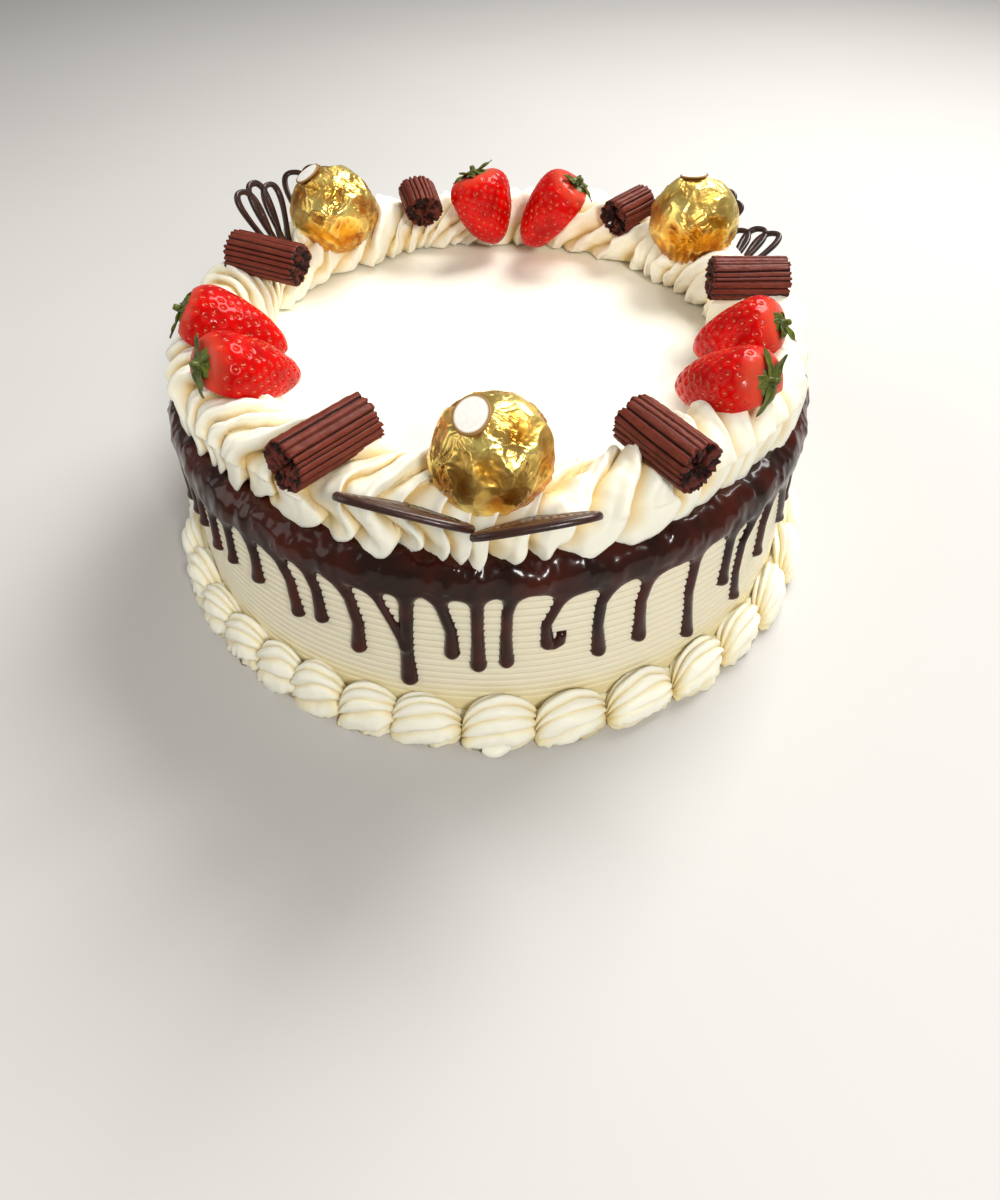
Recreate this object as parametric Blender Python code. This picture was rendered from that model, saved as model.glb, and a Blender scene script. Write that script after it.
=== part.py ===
"""Black forest cake: a round cream cake with a combed side, a chocolate drip and two piped borders.

Six strawberries, six ridged chocolate logs, three foil wrapped balls and six
chocolate fans stand in the top border. The origin is on the cake's axis at its
flat underside, with +Z up and -Y at the front. All lengths are in metres.
"""

import math

import bmesh
import bpy
import numpy as np
from mathutils import Matrix, Vector

CAKE_RADIUS = 0.1063
CAKE_HEIGHT = 0.0662
CAKE_SIDES = 36
COMB_PITCH = 0.0027
COMB_DEPTH = 0.0006
COMB_BOTTOM = 0.0200
COMB_TOP = 0.0570
GAP = 0.0003

DRIP_THICKNESS = 0.0015
DRIP_EDGE = 0.0550
DRIP_HALF_WIDTH = 0.0021
DRIP_FRONT = (
    (-60, 41), (-56.9, 40.2), (-52.4, 36.0), (-47.3, 37.4), (-41.4, 37.8), (-32.7, 32.9),
    (-27.9, 35.1), (-21.8, 27.2), (-13.7, 17.6), (-6.9, 31.8), (-2.5, 26.6), (2.2, 28.2),
    (8.8, 34.3), (16.5, 27.5), (23.7, 28.8), (33.7, 20.0), (40.4, 34.4), (45.3, 21.5),
    (52.7, 32.8), (61.9, 32.2),
)
DRIP_BACK_PITCH = 9.4

TOP_RING_RADIUS = 0.0908
TOP_RING_CENTRE = 0.0745
TOP_HALF_WIDTH = 0.0148
TOP_NARROW = 0.0044
TOP_INNER_WIDTH = 0.0122
TOP_INNER_NARROW = 0.0048
TOP_RISE = 0.0122
TOP_COILS = 16
TOP_RIDGES = 3
TOP_RIDGE_DEPTH = 0.0024
TOP_LEAN = -1.3

SHELLS = 31
SHELL_FOOT_RADIUS = 0.1160
SHELL_HEIGHT = 0.0172
SHELL_RIDGE_DEPTH = 0.0013

BALL_DIAMETER = 0.0330
BALL_CENTRES = ((0.3, -89.5, 91.0), (-58.9, 64.1, 91.3), (76.1, 49.0, 91.3))
BALL_FLAT = 0.945
STICKER_AXES = ((-0.30, -0.22, 0.93), (-0.47, -0.05, 0.87), (-0.06, 0.30, 0.95))
STICKER_LENGTH = 0.0130
STICKER_WIDTH = 0.0100
STICKER_THICKNESS = 0.0006

LOG_DIAMETER = 0.0150
LOG_GROOVES = 11
LOG_GROOVE_DEPTH = 0.0010
LOG_ROUGHNESS = 0.0006
LOG_ENDS = (
    ((-52.3, -92.0, 89.6), (-33.6, -71.0, 89.6)),
    ((38.2, -72.4, 89.5), (52.2, -94.3, 89.2)),
    ((-89.0, 30.0, 91.0), (-65.0, 20.5, 89.5)),
    ((74.0, 4.6, 90.5), (98.5, 3.8, 90.5)),
    ((-28.0, 83.5, 90.5), (-24.5, 70.5, 87.0)),
    ((48.8, 64.5, 86.0), (61.5, 74.5, 88.0)),
)

BERRIES = (
    ((-94.6, -18.3, 94.0), (-65.0, -16.0, 78.0), 24.5),
    ((-81.3, -51.2, 94.5), (-58.5, -33.0, 79.0), 24.5),
    ((-5.0, 79.5, 98.5), (3.6, 73.5, 72.0), 27.0),
    ((34.5, 70.0, 97.5), (14.8, 73.5, 72.0), 27.5),
    ((88.0, -30.8, 93.3), (65.5, -20.0, 78.0), 24.5),
    ((76.3, -62.9, 94.0), (56.5, -41.6, 79.0), 24.5),
)
CALYX_RADIUS = 0.0090
CALYX_LEAVES = 5
CALYX_THICKNESS = 0.0007

FAN_LENGTH = 0.0310
FAN_THICKNESS = 0.0022
FAN_LOOPS = 3
FAN_LINE = 0.0019
FILLED_FANS = 2
FANS = (
    ((-21.4, -93.8, 77.7), (0.05, -0.79, 0.61), (0.96, -0.12, -0.23), 33.0),
    ((10.2, -100.2, 78.2), (-0.01, -0.78, 0.62), (0.99, 0.09, 0.13), 30.0),
    ((-74.4, 43.7, 79.3), (-0.35, 0.34, 0.88), (0.43, 0.89, -0.17), 24.0),
    ((-68.8, 72.7, 76.0), (-0.05, 0.74, 0.67), (1.00, 0.05, 0.02), 24.0),
    ((86.9, 32.9, 75.0), (0.56, 0.76, 0.33), (0.75, -0.63, 0.18), 20.0),
    ((72.9, 63.7, 75.0), (0.76, 0.31, 0.57), (0.48, -0.86, -0.16), 20.0),
)


def clear_scene():
    for old in list(bpy.data.objects):
        bpy.data.objects.remove(old, do_unlink=True)


def make_material(name, colour, roughness, metallic=0.0):
    material = bpy.data.materials.new(name)
    material.use_nodes = True
    shader = material.node_tree.nodes["Principled BSDF"]
    shader.inputs["Base Color"].default_value = (*colour, 1.0)
    shader.inputs["Roughness"].default_value = roughness
    shader.inputs["Metallic"].default_value = metallic
    material.diffuse_color = (*colour, 1.0)
    return material


def add_object(name, points, faces, material, place=None, flat_faces=False):
    """A mesh object with its faces turned outward, put at the matrix `place`."""
    mesh = bpy.data.meshes.new(name)
    mesh.from_pydata([tuple(point) for point in points], [], faces)
    work = bmesh.new()
    work.from_mesh(mesh)
    bmesh.ops.recalc_face_normals(work, faces=work.faces)
    if not flat_faces:
        bmesh.ops.triangulate(work, faces=work.faces)
    work.to_mesh(mesh)
    work.free()
    mesh.materials.append(material)
    mesh.shade_smooth()
    mesh.set_sharp_from_angle(angle=math.radians(35))
    made = bpy.data.objects.new(name, mesh)
    bpy.context.scene.collection.objects.link(made)
    if place is not None:
        made.matrix_world = place
    return made


def metres(point):
    return Vector(point) / 1000


def placed(origin, axis, up):
    """The matrix whose Z runs along `axis` and whose Y leans toward `up`."""
    along = Vector(axis).normalized()
    side = Vector(up).cross(along).normalized()
    above = along.cross(side)
    turn = Matrix((side, above, along)).transposed().to_4x4()
    return Matrix.Translation(Vector(origin)) @ turn


def grid_faces(rows, columns, wrap_rows):
    """Quads over a grid of points whose columns always wrap round."""
    faces = []
    for row in range(rows if wrap_rows else rows - 1):
        below = (row + 1) % rows
        for column in range(columns):
            beside = (column + 1) % columns
            faces.append(
                (
                    row * columns + column,
                    row * columns + beside,
                    below * columns + beside,
                    below * columns + column,
                )
            )
    return faces


def lathe(profile, sides, squash=1.0):
    """Points and faces of rings of (radius, height), closed by a flat face at both ends."""
    points = []
    for radius, height in profile:
        for side in range(sides):
            angle = math.tau * side / sides
            points.append((radius * math.cos(angle), squash * radius * math.sin(angle), height))
    faces = grid_faces(len(profile), sides, False)
    last = (len(profile) - 1) * sides
    faces.append(tuple(reversed(range(sides))))
    faces.append(tuple(range(last, last + sides)))
    return points, faces


def make_cake(material):
    """The cream covered body: flat top with a step for the chocolate, then the combed side."""
    profile = [
        (CAKE_RADIUS - 0.0090, CAKE_HEIGHT),
        (CAKE_RADIUS - 0.0081, CAKE_HEIGHT - 0.0017),
        (CAKE_RADIUS - 0.0019, CAKE_HEIGHT - 0.0034),
        (CAKE_RADIUS, CAKE_HEIGHT - 0.0070),
    ]
    ridges = int((COMB_TOP - COMB_BOTTOM) / COMB_PITCH)
    for ridge in range(ridges):
        crest = COMB_TOP - ridge * COMB_PITCH
        profile.append((CAKE_RADIUS + COMB_DEPTH / 2, crest))
        profile.append((CAKE_RADIUS - COMB_DEPTH / 2, crest - COMB_PITCH / 2))
    profile.append((CAKE_RADIUS, COMB_BOTTOM))
    profile.append((CAKE_RADIUS, 0.0))
    points, faces = lathe(profile, CAKE_SIDES)
    return add_object("cake", points, faces, material)


def drip_list(random):
    """Angles from the front, in radians, and lower ends of all drips, in order round the cake."""
    drips = [(math.radians(angle), end / 1000) for angle, end in DRIP_FRONT]
    first, last = DRIP_FRONT[-1][0], DRIP_FRONT[0][0] + 360
    count = round((last - first) / DRIP_BACK_PITCH) - 1
    for place in range(count):
        angle = first + (last - first) * (place + 1 + random.uniform(-0.22, 0.22)) / (count + 1)
        drips.append((math.radians(angle), random.uniform(0.0215, 0.0400)))
    return drips


def make_drip(material):
    """The thin chocolate collar over the shoulder, with drips that run down the side."""
    random = np.random.default_rng(31)
    drips = drip_list(random)
    inside = CAKE_RADIUS + COMB_DEPTH / 2 + 2 * GAP
    outside = inside + DRIP_THICKNESS
    points, faces = [], []

    def add(angle, radius, height):
        turn = angle - math.pi / 2
        points.append((radius * math.cos(turn), radius * math.sin(turn), height))
        return len(points) - 1

    def band_column(angle):
        """The collar's section at one angle, from its inner top edge round to its underside."""
        inner_edge = CAKE_RADIUS - 0.0072 + random.uniform(0.0, 0.0008)
        low = DRIP_EDGE + random.uniform(-0.0012, 0.0012)
        return [
            add(angle, inner_edge, CAKE_HEIGHT - 0.0002),
            add(angle, CAKE_RADIUS + 0.0002, CAKE_HEIGHT - 0.0014),
            add(angle, outside, CAKE_HEIGHT - 0.0062),
            add(angle, outside, low),
            add(angle, inside, low - 0.0004),
            add(angle, inside, CAKE_HEIGHT - 0.0070),
            add(angle, CAKE_RADIUS - 0.0012, CAKE_HEIGHT - 0.0027),
            add(angle, inner_edge, CAKE_HEIGHT - 0.0012),
        ]

    root = 1.35 * DRIP_HALF_WIDTH / CAKE_RADIUS
    columns = []
    for angle, _ in drips:
        columns.append(band_column(angle - root))
        columns.append(band_column(angle + root))
    for index, column in enumerate(columns):
        beside = columns[(index + 1) % len(columns)]
        under_drip = index % 2 == 0
        for row in range(8):
            if under_drip and row == 3:
                continue
            nxt = (row + 1) % 8
            faces.append((column[row], column[nxt], beside[nxt], beside[row]))
    for index, (angle, end) in enumerate(drips):
        left, right = columns[2 * index], columns[2 * index + 1]
        ring = [left[3], right[3], right[4], left[4]]
        bulb = DRIP_HALF_WIDTH * random.uniform(0.95, 1.2)
        for height, half, depth in (
            (DRIP_EDGE - 0.0045, 0.85 * DRIP_HALF_WIDTH, 0.9),
            (end + 0.0024, bulb, 1.1),
            (end, 0.5 * bulb, 0.5),
        ):
            step = half / CAKE_RADIUS
            front = inside + DRIP_THICKNESS * depth
            lower = [
                add(angle - 0.72 * step, front, height),
                add(angle + 0.72 * step, front, height),
                add(angle + step, inside, height),
                add(angle - step, inside, height),
            ]
            for corner in range(4):
                nxt = (corner + 1) % 4
                faces.append((ring[corner], ring[nxt], lower[nxt], lower[corner]))
            ring = lower
        faces.append(tuple(ring))
    return add_object("chocolate_drip", points, faces, material)


def ring_points(columns, bearings, section):
    """Points of a ring: section(angle, bearings) gives radii and heights of one column."""
    points = []
    for column in range(columns):
        angle = math.tau * column / columns
        radii, heights = section(angle, bearings)
        for radius, height in zip(radii, heights):
            points.append((radius * math.cos(angle), radius * math.sin(angle), height))
    return points


def wave(angle, terms):
    """A slow seeded wave round the ring, as a sum of cosines of (turns, size, phase)."""
    return sum(size * math.cos(turns * angle + phase) for turns, size, phase in terms)


def outer_half_width(angle):
    """The rope's reach outward from its middle: full at the front and back, less beside the front."""
    from_front = abs(math.degrees(angle) - 270)
    from_front = min(from_front, 360 - from_front)
    return TOP_HALF_WIDTH - TOP_NARROW * math.exp(-(((from_front - 42) / 17) ** 2))


def inner_half_width(angle):
    """The rope's reach inward from its middle: less at the back, where it was piped thinner."""
    from_back = math.degrees(angle) - 90
    from_back = min(abs(from_back), 360 - abs(from_back))
    return TOP_INNER_WIDTH - TOP_INNER_NARROW * math.exp(-((from_back / 45) ** 2))


def make_top_border(material):
    """One thick piped rope of cream: a ring whose soft ridges lean round it."""
    random = np.random.default_rng(7)
    sway = [(turns, 0.0005, random.uniform(0, math.tau)) for turns in (3, 5, 8, 13)]
    swell = [(turns, 0.035, random.uniform(0, math.tau)) for turns in (4, 7, 11, 22)]
    floor = CAKE_HEIGHT + GAP
    ridges = TOP_COILS * TOP_RIDGES

    def section(angle, bearings):
        scale = 1 + wave(angle, swell)
        phase = ridges * angle / math.tau + TOP_LEAN * bearings / math.pi
        lobe = np.abs(np.cos(math.pi * phase)) - 0.6
        outward = np.cos(bearings) > 0
        half_width = np.where(outward, outer_half_width(angle), inner_half_width(angle))
        reach = scale / np.hypot(np.cos(bearings) / half_width, np.sin(bearings) / TOP_RISE)
        reach = reach + TOP_RIDGE_DEPTH * lobe
        drop = (TOP_RING_CENTRE - floor) / np.maximum(-np.sin(bearings), 1e-6)
        reach = np.minimum(reach, drop)
        radii = TOP_RING_RADIUS + wave(angle, sway) + reach * np.cos(bearings)
        return radii, TOP_RING_CENTRE + reach * np.sin(bearings)

    bearings = np.radians((-33, -4, 28, 62, 98, 134, 178, 216))
    columns = 3 * ridges
    points = ring_points(columns, bearings, section)
    return add_object(
        "top_border", points, grid_faces(columns, len(bearings), True), material
    )


def make_base_border(material):
    """Fat piped shells round the foot of the cake, each one's tail under the next one's head."""
    random = np.random.default_rng(19)
    size = 1 + random.uniform(-0.07, 0.06, SHELLS)
    wall = CAKE_RADIUS + COMB_DEPTH / 2 + 2 * GAP
    centre_radius = wall + 0.0030
    centre_height = 0.0052

    def section(angle, bearings):
        along = SHELLS * angle / math.tau
        shell, part = int(along) % SHELLS, along % 1.0
        swell = size[shell] * (0.48 + 0.52 * math.sin(math.pi * min(1.0, part + 0.08)) ** 0.6)
        out = SHELL_FOOT_RADIUS - centre_radius
        rise = SHELL_HEIGHT - centre_height
        reach = swell / np.hypot(np.cos(bearings) / out, np.sin(bearings) / rise)
        reach = reach + SHELL_RIDGE_DEPTH * (np.arange(len(bearings)) % 2 - 0.5) * swell
        drop = centre_height / np.maximum(-np.sin(bearings), 1e-6)
        back = (centre_radius - wall) / np.maximum(-np.cos(bearings), 1e-6)
        reach = np.minimum(reach, np.minimum(drop, back))
        return centre_radius + reach * np.cos(bearings), centre_height + reach * np.sin(bearings)

    corner = math.degrees(math.atan2(centre_height, centre_radius - wall))
    bearings = np.radians((-35, -5, 18, 40, 62, 84, 108, 180 + corner))
    columns = 4 * SHELLS
    points = ring_points(columns, bearings, section)
    return add_object(
        "base_border", points, grid_faces(columns, len(bearings), True), material
    )


def make_ball(number, centre, material):
    """A foil wrapped ball: a crumpled sphere with a flat spot for its sticker."""
    random = np.random.default_rng(100 + number)
    radius = BALL_DIAMETER / 2
    rings, sides = 7, 13
    profile = []
    for ring in range(rings):
        angle = math.pi * (ring + 0.6) / (rings + 0.2)
        profile.append((radius * math.sin(angle), radius * math.cos(angle)))
    points, faces = lathe(profile, sides)
    crumple = random.uniform(0.965, 1.0, len(points))
    points = [Vector(point) * scale for point, scale in zip(points, crumple)]
    flat = BALL_FLAT * radius
    points = [Vector((p.x, p.y, min(p.z, flat))) for p in points]
    place = placed(metres(centre), STICKER_AXES[number], (0, 1, 0))
    return add_object(f"foil_ball_{number + 1}", points, faces, material, place)


def make_sticker(number, centre, material):
    """The blank oval disc on a ball."""
    sides = 12
    base = BALL_FLAT * BALL_DIAMETER / 2 + GAP
    points, faces = lathe(
        [(STICKER_WIDTH / 2, base), (STICKER_WIDTH / 2, base + STICKER_THICKNESS)],
        sides,
        STICKER_LENGTH / STICKER_WIDTH,
    )
    place = placed(metres(centre), STICKER_AXES[number], (0, 1, 0))
    return add_object(f"sticker_{number + 1}", points, faces, material, place)


def make_log(number, ends, material):
    """A short ridged chocolate log, with its grooves along it and slightly rough ends."""
    random = np.random.default_rng(200 + number)
    start, stop = metres(ends[0]), metres(ends[1])
    length = (stop - start).length
    sides = 2 * LOG_GROOVES
    points = []
    for end in range(2):
        for side in range(sides):
            angle = math.tau * side / sides
            radius = LOG_DIAMETER / 2 - (side % 2) * LOG_GROOVE_DEPTH
            height = end * length + random.uniform(-LOG_ROUGHNESS, LOG_ROUGHNESS)
            points.append((radius * math.cos(angle), radius * math.sin(angle), height))
    faces = grid_faces(2, sides, False)
    faces.append(tuple(range(sides)))
    faces.append(tuple(range(sides, 2 * sides)))
    place = placed(start, stop - start, (0, 0, 1))
    return add_object(f"chocolate_log_{number + 1}", points, faces, material, place)


def berry_shape(length, width, sides, rings, grow=0.0):
    """A strawberry's points along Z: blunt tip, widest two thirds up, round shoulder.

    It is flattened a little, and cut flat below its middle. `grow` makes it larger all round.
    """
    widest = 0.66
    profile = []
    for ring in range(rings):
        part = ring / (rings - 1)
        taper = (1 - (1 - max(part, 0.05)) ** 2.5) ** 0.65
        past = max(0.0, part - widest) / (1 - widest)
        shoulder = (1 - 0.72 * past ** 3) ** 0.5
        profile.append((width / 2 * taper * shoulder + grow, part * length))
    profile[0] = (profile[0][0], -grow)
    profile[-1] = (profile[-1][0], length + grow)
    points, faces = lathe(profile, sides, 0.88)
    cut = -0.20 * width - grow
    points = [(x, max(y, cut), z) for x, y, z in points]
    return points, faces


def make_berry(number, stem, tip, width, material):
    start, stop = metres(tip), metres(stem)
    points, faces = berry_shape((stop - start).length, width / 1000, 10, 6)
    place = placed(start, stop - start, (0, 0, 1))
    return add_object(f"strawberry_{number + 1}", points, faces, material, place)


def make_calyx(number, stem, tip, material):
    """A star of green leaves on the shoulder of a strawberry: one thin wavy solid."""
    random = np.random.default_rng(300 + number)
    outline = []
    for leaf in range(CALYX_LEAVES):
        reach = CALYX_RADIUS * random.uniform(0.85, 1.12)
        lift = random.uniform(-0.0008, 0.0030)
        wave_height = 0.0004
        for share, turn, height in (
            (0.26, -0.5, 0.0),
            (0.58, -0.22, wave_height),
            (1.0, 0.0, lift),
            (0.58, 0.22, wave_height),
        ):
            angle = math.tau * (leaf + turn) / CALYX_LEAVES
            outline.append((reach * share * math.cos(angle), reach * share * math.sin(angle), height))
    count = len(outline)
    lower = [(0.0, 0.0, 0.0)] + outline
    points = lower + [(x, y, z + CALYX_THICKNESS) for x, y, z in lower]
    half = count + 1
    faces = []
    for leaf in range(CALYX_LEAVES):
        root, left, point, right = (1 + 4 * leaf + step for step in range(4))
        after = 1 + (4 * leaf + 4) % count
        for face in ((0, root, left), (0, left, right), (left, point, right), (0, right, after)):
            faces.append(face)
            faces.append(tuple(half + corner for corner in reversed(face)))
    for corner in range(count):
        here, after = 1 + corner, 1 + (corner + 1) % count
        faces.append((here, after, half + after, half + here))
    axis = metres(stem) - metres(tip)
    origin = metres(stem) + axis.normalized() * 0.0006
    place = placed(origin, axis, (0, 0, 1))
    return add_object(f"calyx_{number + 1}", points, faces, material, place)


def fan_place(base, axis, across):
    """The fan's matrix: Z runs from its foot to its loops, and X runs across them."""
    along = Vector(axis).normalized()
    side = Vector(across)
    side = (side - side.dot(along) * along).normalized()
    return placed(base, along, along.cross(side))


def fan_top(middle, width):
    """The height of the fan's edge at a distance from its middle line: the outer loops are shorter."""
    return FAN_LENGTH * (1 - 0.13 * (2 * middle / width) ** 2)


def fan_outline(width, loops):
    """Points of the fan's scalloped edge: a narrow foot, then one round lobe for each loop."""
    foot = 0.30 * width
    outline = [(-foot / 2, 0.0), (foot / 2, 0.0)]
    lobe = width / loops
    arc = 4 if loops > 1 else 9
    for loop in reversed(range(loops)):
        middle = -width / 2 + (loop + 0.5) * lobe
        top = fan_top(middle, width) - lobe / 2
        for step in range(arc):
            angle = math.pi * (0.1 + 0.8 * step / (arc - 1))
            outline.append((middle + lobe / 2 * math.cos(angle), top + lobe / 2 * math.sin(angle)))
    return outline


def slab(outline, thickness):
    """Points and faces of an outline in X and Z, made into a slab of this thickness along Y."""
    count = len(outline)
    points = [(x, -thickness / 2, z) for x, z in outline]
    points += [(x, thickness / 2, z) for x, z in outline]
    faces = [tuple(range(count)), tuple(range(count, 2 * count))]
    for corner in range(count):
        after = (corner + 1) % count
        faces.append((corner, after, count + after, count + corner))
    return points, faces


def make_fan(number, base, axis, across, width, material):
    """A piped chocolate fan: thin loops side by side that meet in a narrow foot.

    The first two are single round loops, filled by closer and closer loops inside.
    """
    width = width / 1000
    place = fan_place(metres(base), axis, across)
    filled = number < FILLED_FANS
    points, faces = slab(fan_outline(width, 1 if filled else FAN_LOOPS), FAN_THICKNESS)
    fan = add_object(f"chocolate_fan_{number + 1}", points, faces, material, place, not filled)
    if filled:
        return fan
    lobe = width / FAN_LOOPS
    foot_lean = 0.40
    half_hole = lobe / 2 - FAN_LINE
    hole_start = 0.33 * FAN_LENGTH
    cutters = []
    for loop in range(FAN_LOOPS):
        middle = -width / 2 + (loop + 0.5) * lobe
        top = fan_top(middle, width) - FAN_LINE
        hole_outline = [
            (middle * foot_lean, hole_start),
            (middle + half_hole, top - 1.3 * half_hole),
            (middle + 0.6 * half_hole, top - 0.2 * half_hole),
            (middle - 0.6 * half_hole, top - 0.2 * half_hole),
            (middle - half_hole, top - 1.3 * half_hole),
        ]
        points, faces = slab(hole_outline, 2 * FAN_THICKNESS)
        name = f"hole_{number + 1}_{loop + 1}"
        cutters.append(add_object(name, points, faces, material, place, True))
    cut_away(fan, cutters)
    return fan


def cut_away(body, cutters):
    """Takes the cutters out of the body, keeps its largest piece, and removes the cutters."""
    group = bpy.data.collections.new("cutters")
    for cutter in cutters:
        group.objects.link(cutter)
    bpy.context.view_layer.update()
    cut = body.modifiers.new("cut", "BOOLEAN")
    cut.operation = "DIFFERENCE"
    cut.operand_type = "COLLECTION"
    cut.collection = group
    bpy.context.view_layer.update()
    graph = bpy.context.evaluated_depsgraph_get()
    result = bpy.data.meshes.new_from_object(body.evaluated_get(graph))
    body.modifiers.clear()
    body.data = result
    for cutter in cutters:
        bpy.data.objects.remove(cutter, do_unlink=True)
    bpy.data.collections.remove(group)
    keep_largest(result)


def keep_largest(mesh):
    """Deletes every loose scrap beside the largest connected piece of a mesh."""
    work = bmesh.new()
    work.from_mesh(mesh)
    bmesh.ops.remove_doubles(work, verts=work.verts, dist=0.00002)
    bmesh.ops.dissolve_degenerate(work, edges=work.edges, dist=0.00002)
    left = set(work.verts)
    pieces = []
    while left:
        piece, reach = set(), [left.pop()]
        while reach:
            vert = reach.pop()
            piece.add(vert)
            for edge in vert.link_edges:
                other = edge.other_vert(vert)
                if other in left:
                    left.discard(other)
                    reach.append(other)
        pieces.append(piece)
    pieces.sort(key=len)
    for piece in pieces[:-1]:
        bmesh.ops.delete(work, geom=list(piece), context="VERTS")
    work.to_mesh(mesh)
    work.free()


def box_points(width, depth, length):
    """A box centred across X and Y that rises along Z from 0."""
    points = [
        (x * width / 2, y * depth / 2, z * length)
        for z in (0, 1)
        for x, y in ((-1, -1), (1, -1), (1, 1), (-1, 1))
    ]
    faces = grid_faces(2, 4, False) + [(0, 1, 2, 3), (4, 5, 6, 7)]
    return points, faces


def nest_toppings(border, material):
    """Cuts the cream away round each topping, so that it sits in the border with a fine gap."""
    clearance = 0.0004
    few_sides = 1.08
    cutters = []
    for number, centre in enumerate(BALL_CENTRES):
        radius = BALL_DIAMETER / 2 * few_sides + clearance
        rings = 5
        profile = []
        for ring in range(rings):
            angle = math.pi * (ring + 0.5) / rings
            profile.append((radius * math.sin(angle), -radius * math.cos(angle)))
        points, faces = lathe(profile, 10)
        place = Matrix.Translation(metres(centre))
        cutters.append(add_object(f"ball_nest_{number + 1}", points, faces, material, place))
    for number, (start, stop) in enumerate(LOG_ENDS):
        start, stop = metres(start), metres(stop)
        radius = LOG_DIAMETER / 2 * few_sides + clearance
        length = (stop - start).length
        end_room = LOG_ROUGHNESS + 1.5 * clearance
        points, faces = lathe([(radius, -end_room), (radius, length + end_room)], 8)
        place = placed(start, stop - start, (0, 0, 1))
        cutters.append(add_object(f"log_nest_{number + 1}", points, faces, material, place))
    for number, (stem, tip, width) in enumerate(BERRIES):
        start, stop = metres(tip), metres(stem)
        points, faces = berry_shape((stop - start).length, width / 1000, 10, 6, 2 * clearance)
        place = placed(start, stop - start, (0, 0, 1))
        cutters.append(add_object(f"berry_nest_{number + 1}", points, faces, material, place))
    for number, (base, axis, across, width) in enumerate(FANS):
        origin = metres(base) - Vector(axis).normalized() * 2 * clearance
        points, faces = box_points(width / 1000 + 0.001, FAN_THICKNESS + 2 * clearance, FAN_LENGTH)
        place = fan_place(origin, axis, across)
        cutters.append(add_object(f"fan_nest_{number + 1}", points, faces, material, place))
    cut_away(border, cutters)


def main():
    clear_scene()
    cream = make_material("top_cream", (0.96, 0.94, 0.86), 0.45)
    side_cream = make_material("side_cream", (0.90, 0.86, 0.74), 0.50)
    base_cream = make_material("base_cream", (0.94, 0.90, 0.74), 0.45)
    drip = make_material("drip_chocolate", (0.045, 0.014, 0.008), 0.12)
    log = make_material("log_chocolate", (0.13, 0.035, 0.022), 0.55)
    fan = make_material("fan_chocolate", (0.040, 0.018, 0.011), 0.35)
    berry = make_material("strawberry_red", (0.62, 0.015, 0.008), 0.22)
    leaf = make_material("leaf_green", (0.07, 0.14, 0.02), 0.50)
    foil = make_material("gold_foil", (0.83, 0.56, 0.14), 0.25, 1.0)
    paper = make_material("sticker_paper", (0.80, 0.78, 0.74), 0.50)

    make_cake(side_cream)
    make_drip(drip)
    top = make_top_border(cream)
    make_base_border(base_cream)
    nest_toppings(top, cream)
    for number, centre in enumerate(BALL_CENTRES):
        make_ball(number, centre, foil)
        make_sticker(number, centre, paper)
    for number, ends in enumerate(LOG_ENDS):
        make_log(number, ends, log)
    for number, (stem, tip, width) in enumerate(BERRIES):
        make_berry(number, stem, tip, width, berry)
        make_calyx(number, stem, tip, leaf)
    for number, (base, axis, across, width) in enumerate(FANS):
        make_fan(number, base, axis, across, width, fan)


main()
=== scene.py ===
"""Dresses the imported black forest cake: combed cream, a chocolate drip, piped borders and toppings.

Each visible surface is a grid of points worked out as whole numpy arrays from the sizes
that the solids have. Lengths are in metres, the origin is on the cake's axis at its flat
underside, +Z is up and -Y is the front. A bearing is an angle round the cake's axis.
"""

import itertools
import math

import bpy
import numpy as np
from mathutils import Matrix, Vector


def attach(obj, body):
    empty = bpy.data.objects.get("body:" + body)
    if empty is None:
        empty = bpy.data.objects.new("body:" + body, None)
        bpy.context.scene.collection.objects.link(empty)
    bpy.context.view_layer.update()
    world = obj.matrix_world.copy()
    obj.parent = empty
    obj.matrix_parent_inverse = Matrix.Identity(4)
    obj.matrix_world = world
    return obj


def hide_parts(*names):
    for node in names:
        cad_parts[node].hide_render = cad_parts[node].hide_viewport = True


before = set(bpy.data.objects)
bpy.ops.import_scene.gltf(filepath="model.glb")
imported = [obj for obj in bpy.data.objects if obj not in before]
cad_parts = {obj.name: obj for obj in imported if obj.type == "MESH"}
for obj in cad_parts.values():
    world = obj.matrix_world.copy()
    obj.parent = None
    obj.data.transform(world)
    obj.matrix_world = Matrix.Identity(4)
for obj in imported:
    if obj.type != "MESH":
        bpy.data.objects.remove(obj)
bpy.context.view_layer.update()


# The cake's body: a tall round sponge coated in soft whipped cream.
# A flat blade levels the top, and a toothed scraper held against the turning side
# leaves fine level ribs, about three millimetres apart.
CAKE_RADIUS = 0.1063
CAKE_HEIGHT = 0.0662
SHOULDER_REACH = 0.0090
SHOULDER_DROP = 0.0080
SHOULDER_POWER = 2.5
COMB_PITCH = 0.0027
COMB_DEPTH = 0.0006
COMB_BOTTOM = 0.0115
COMB_TOP = 0.0570
GROOVE_HALF_WIDTH = 0.00036


def tone(red, green, blue):
    """A colour as a screen shows it, 0 to 255, turned into the linear values of a shader."""
    share = np.array([red, green, blue]) / 255
    linear = np.where(share > 0.04045, ((share + 0.055) / 1.055) ** 2.4, share / 12.92)
    return (*linear.tolist(), 1.0)


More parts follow.
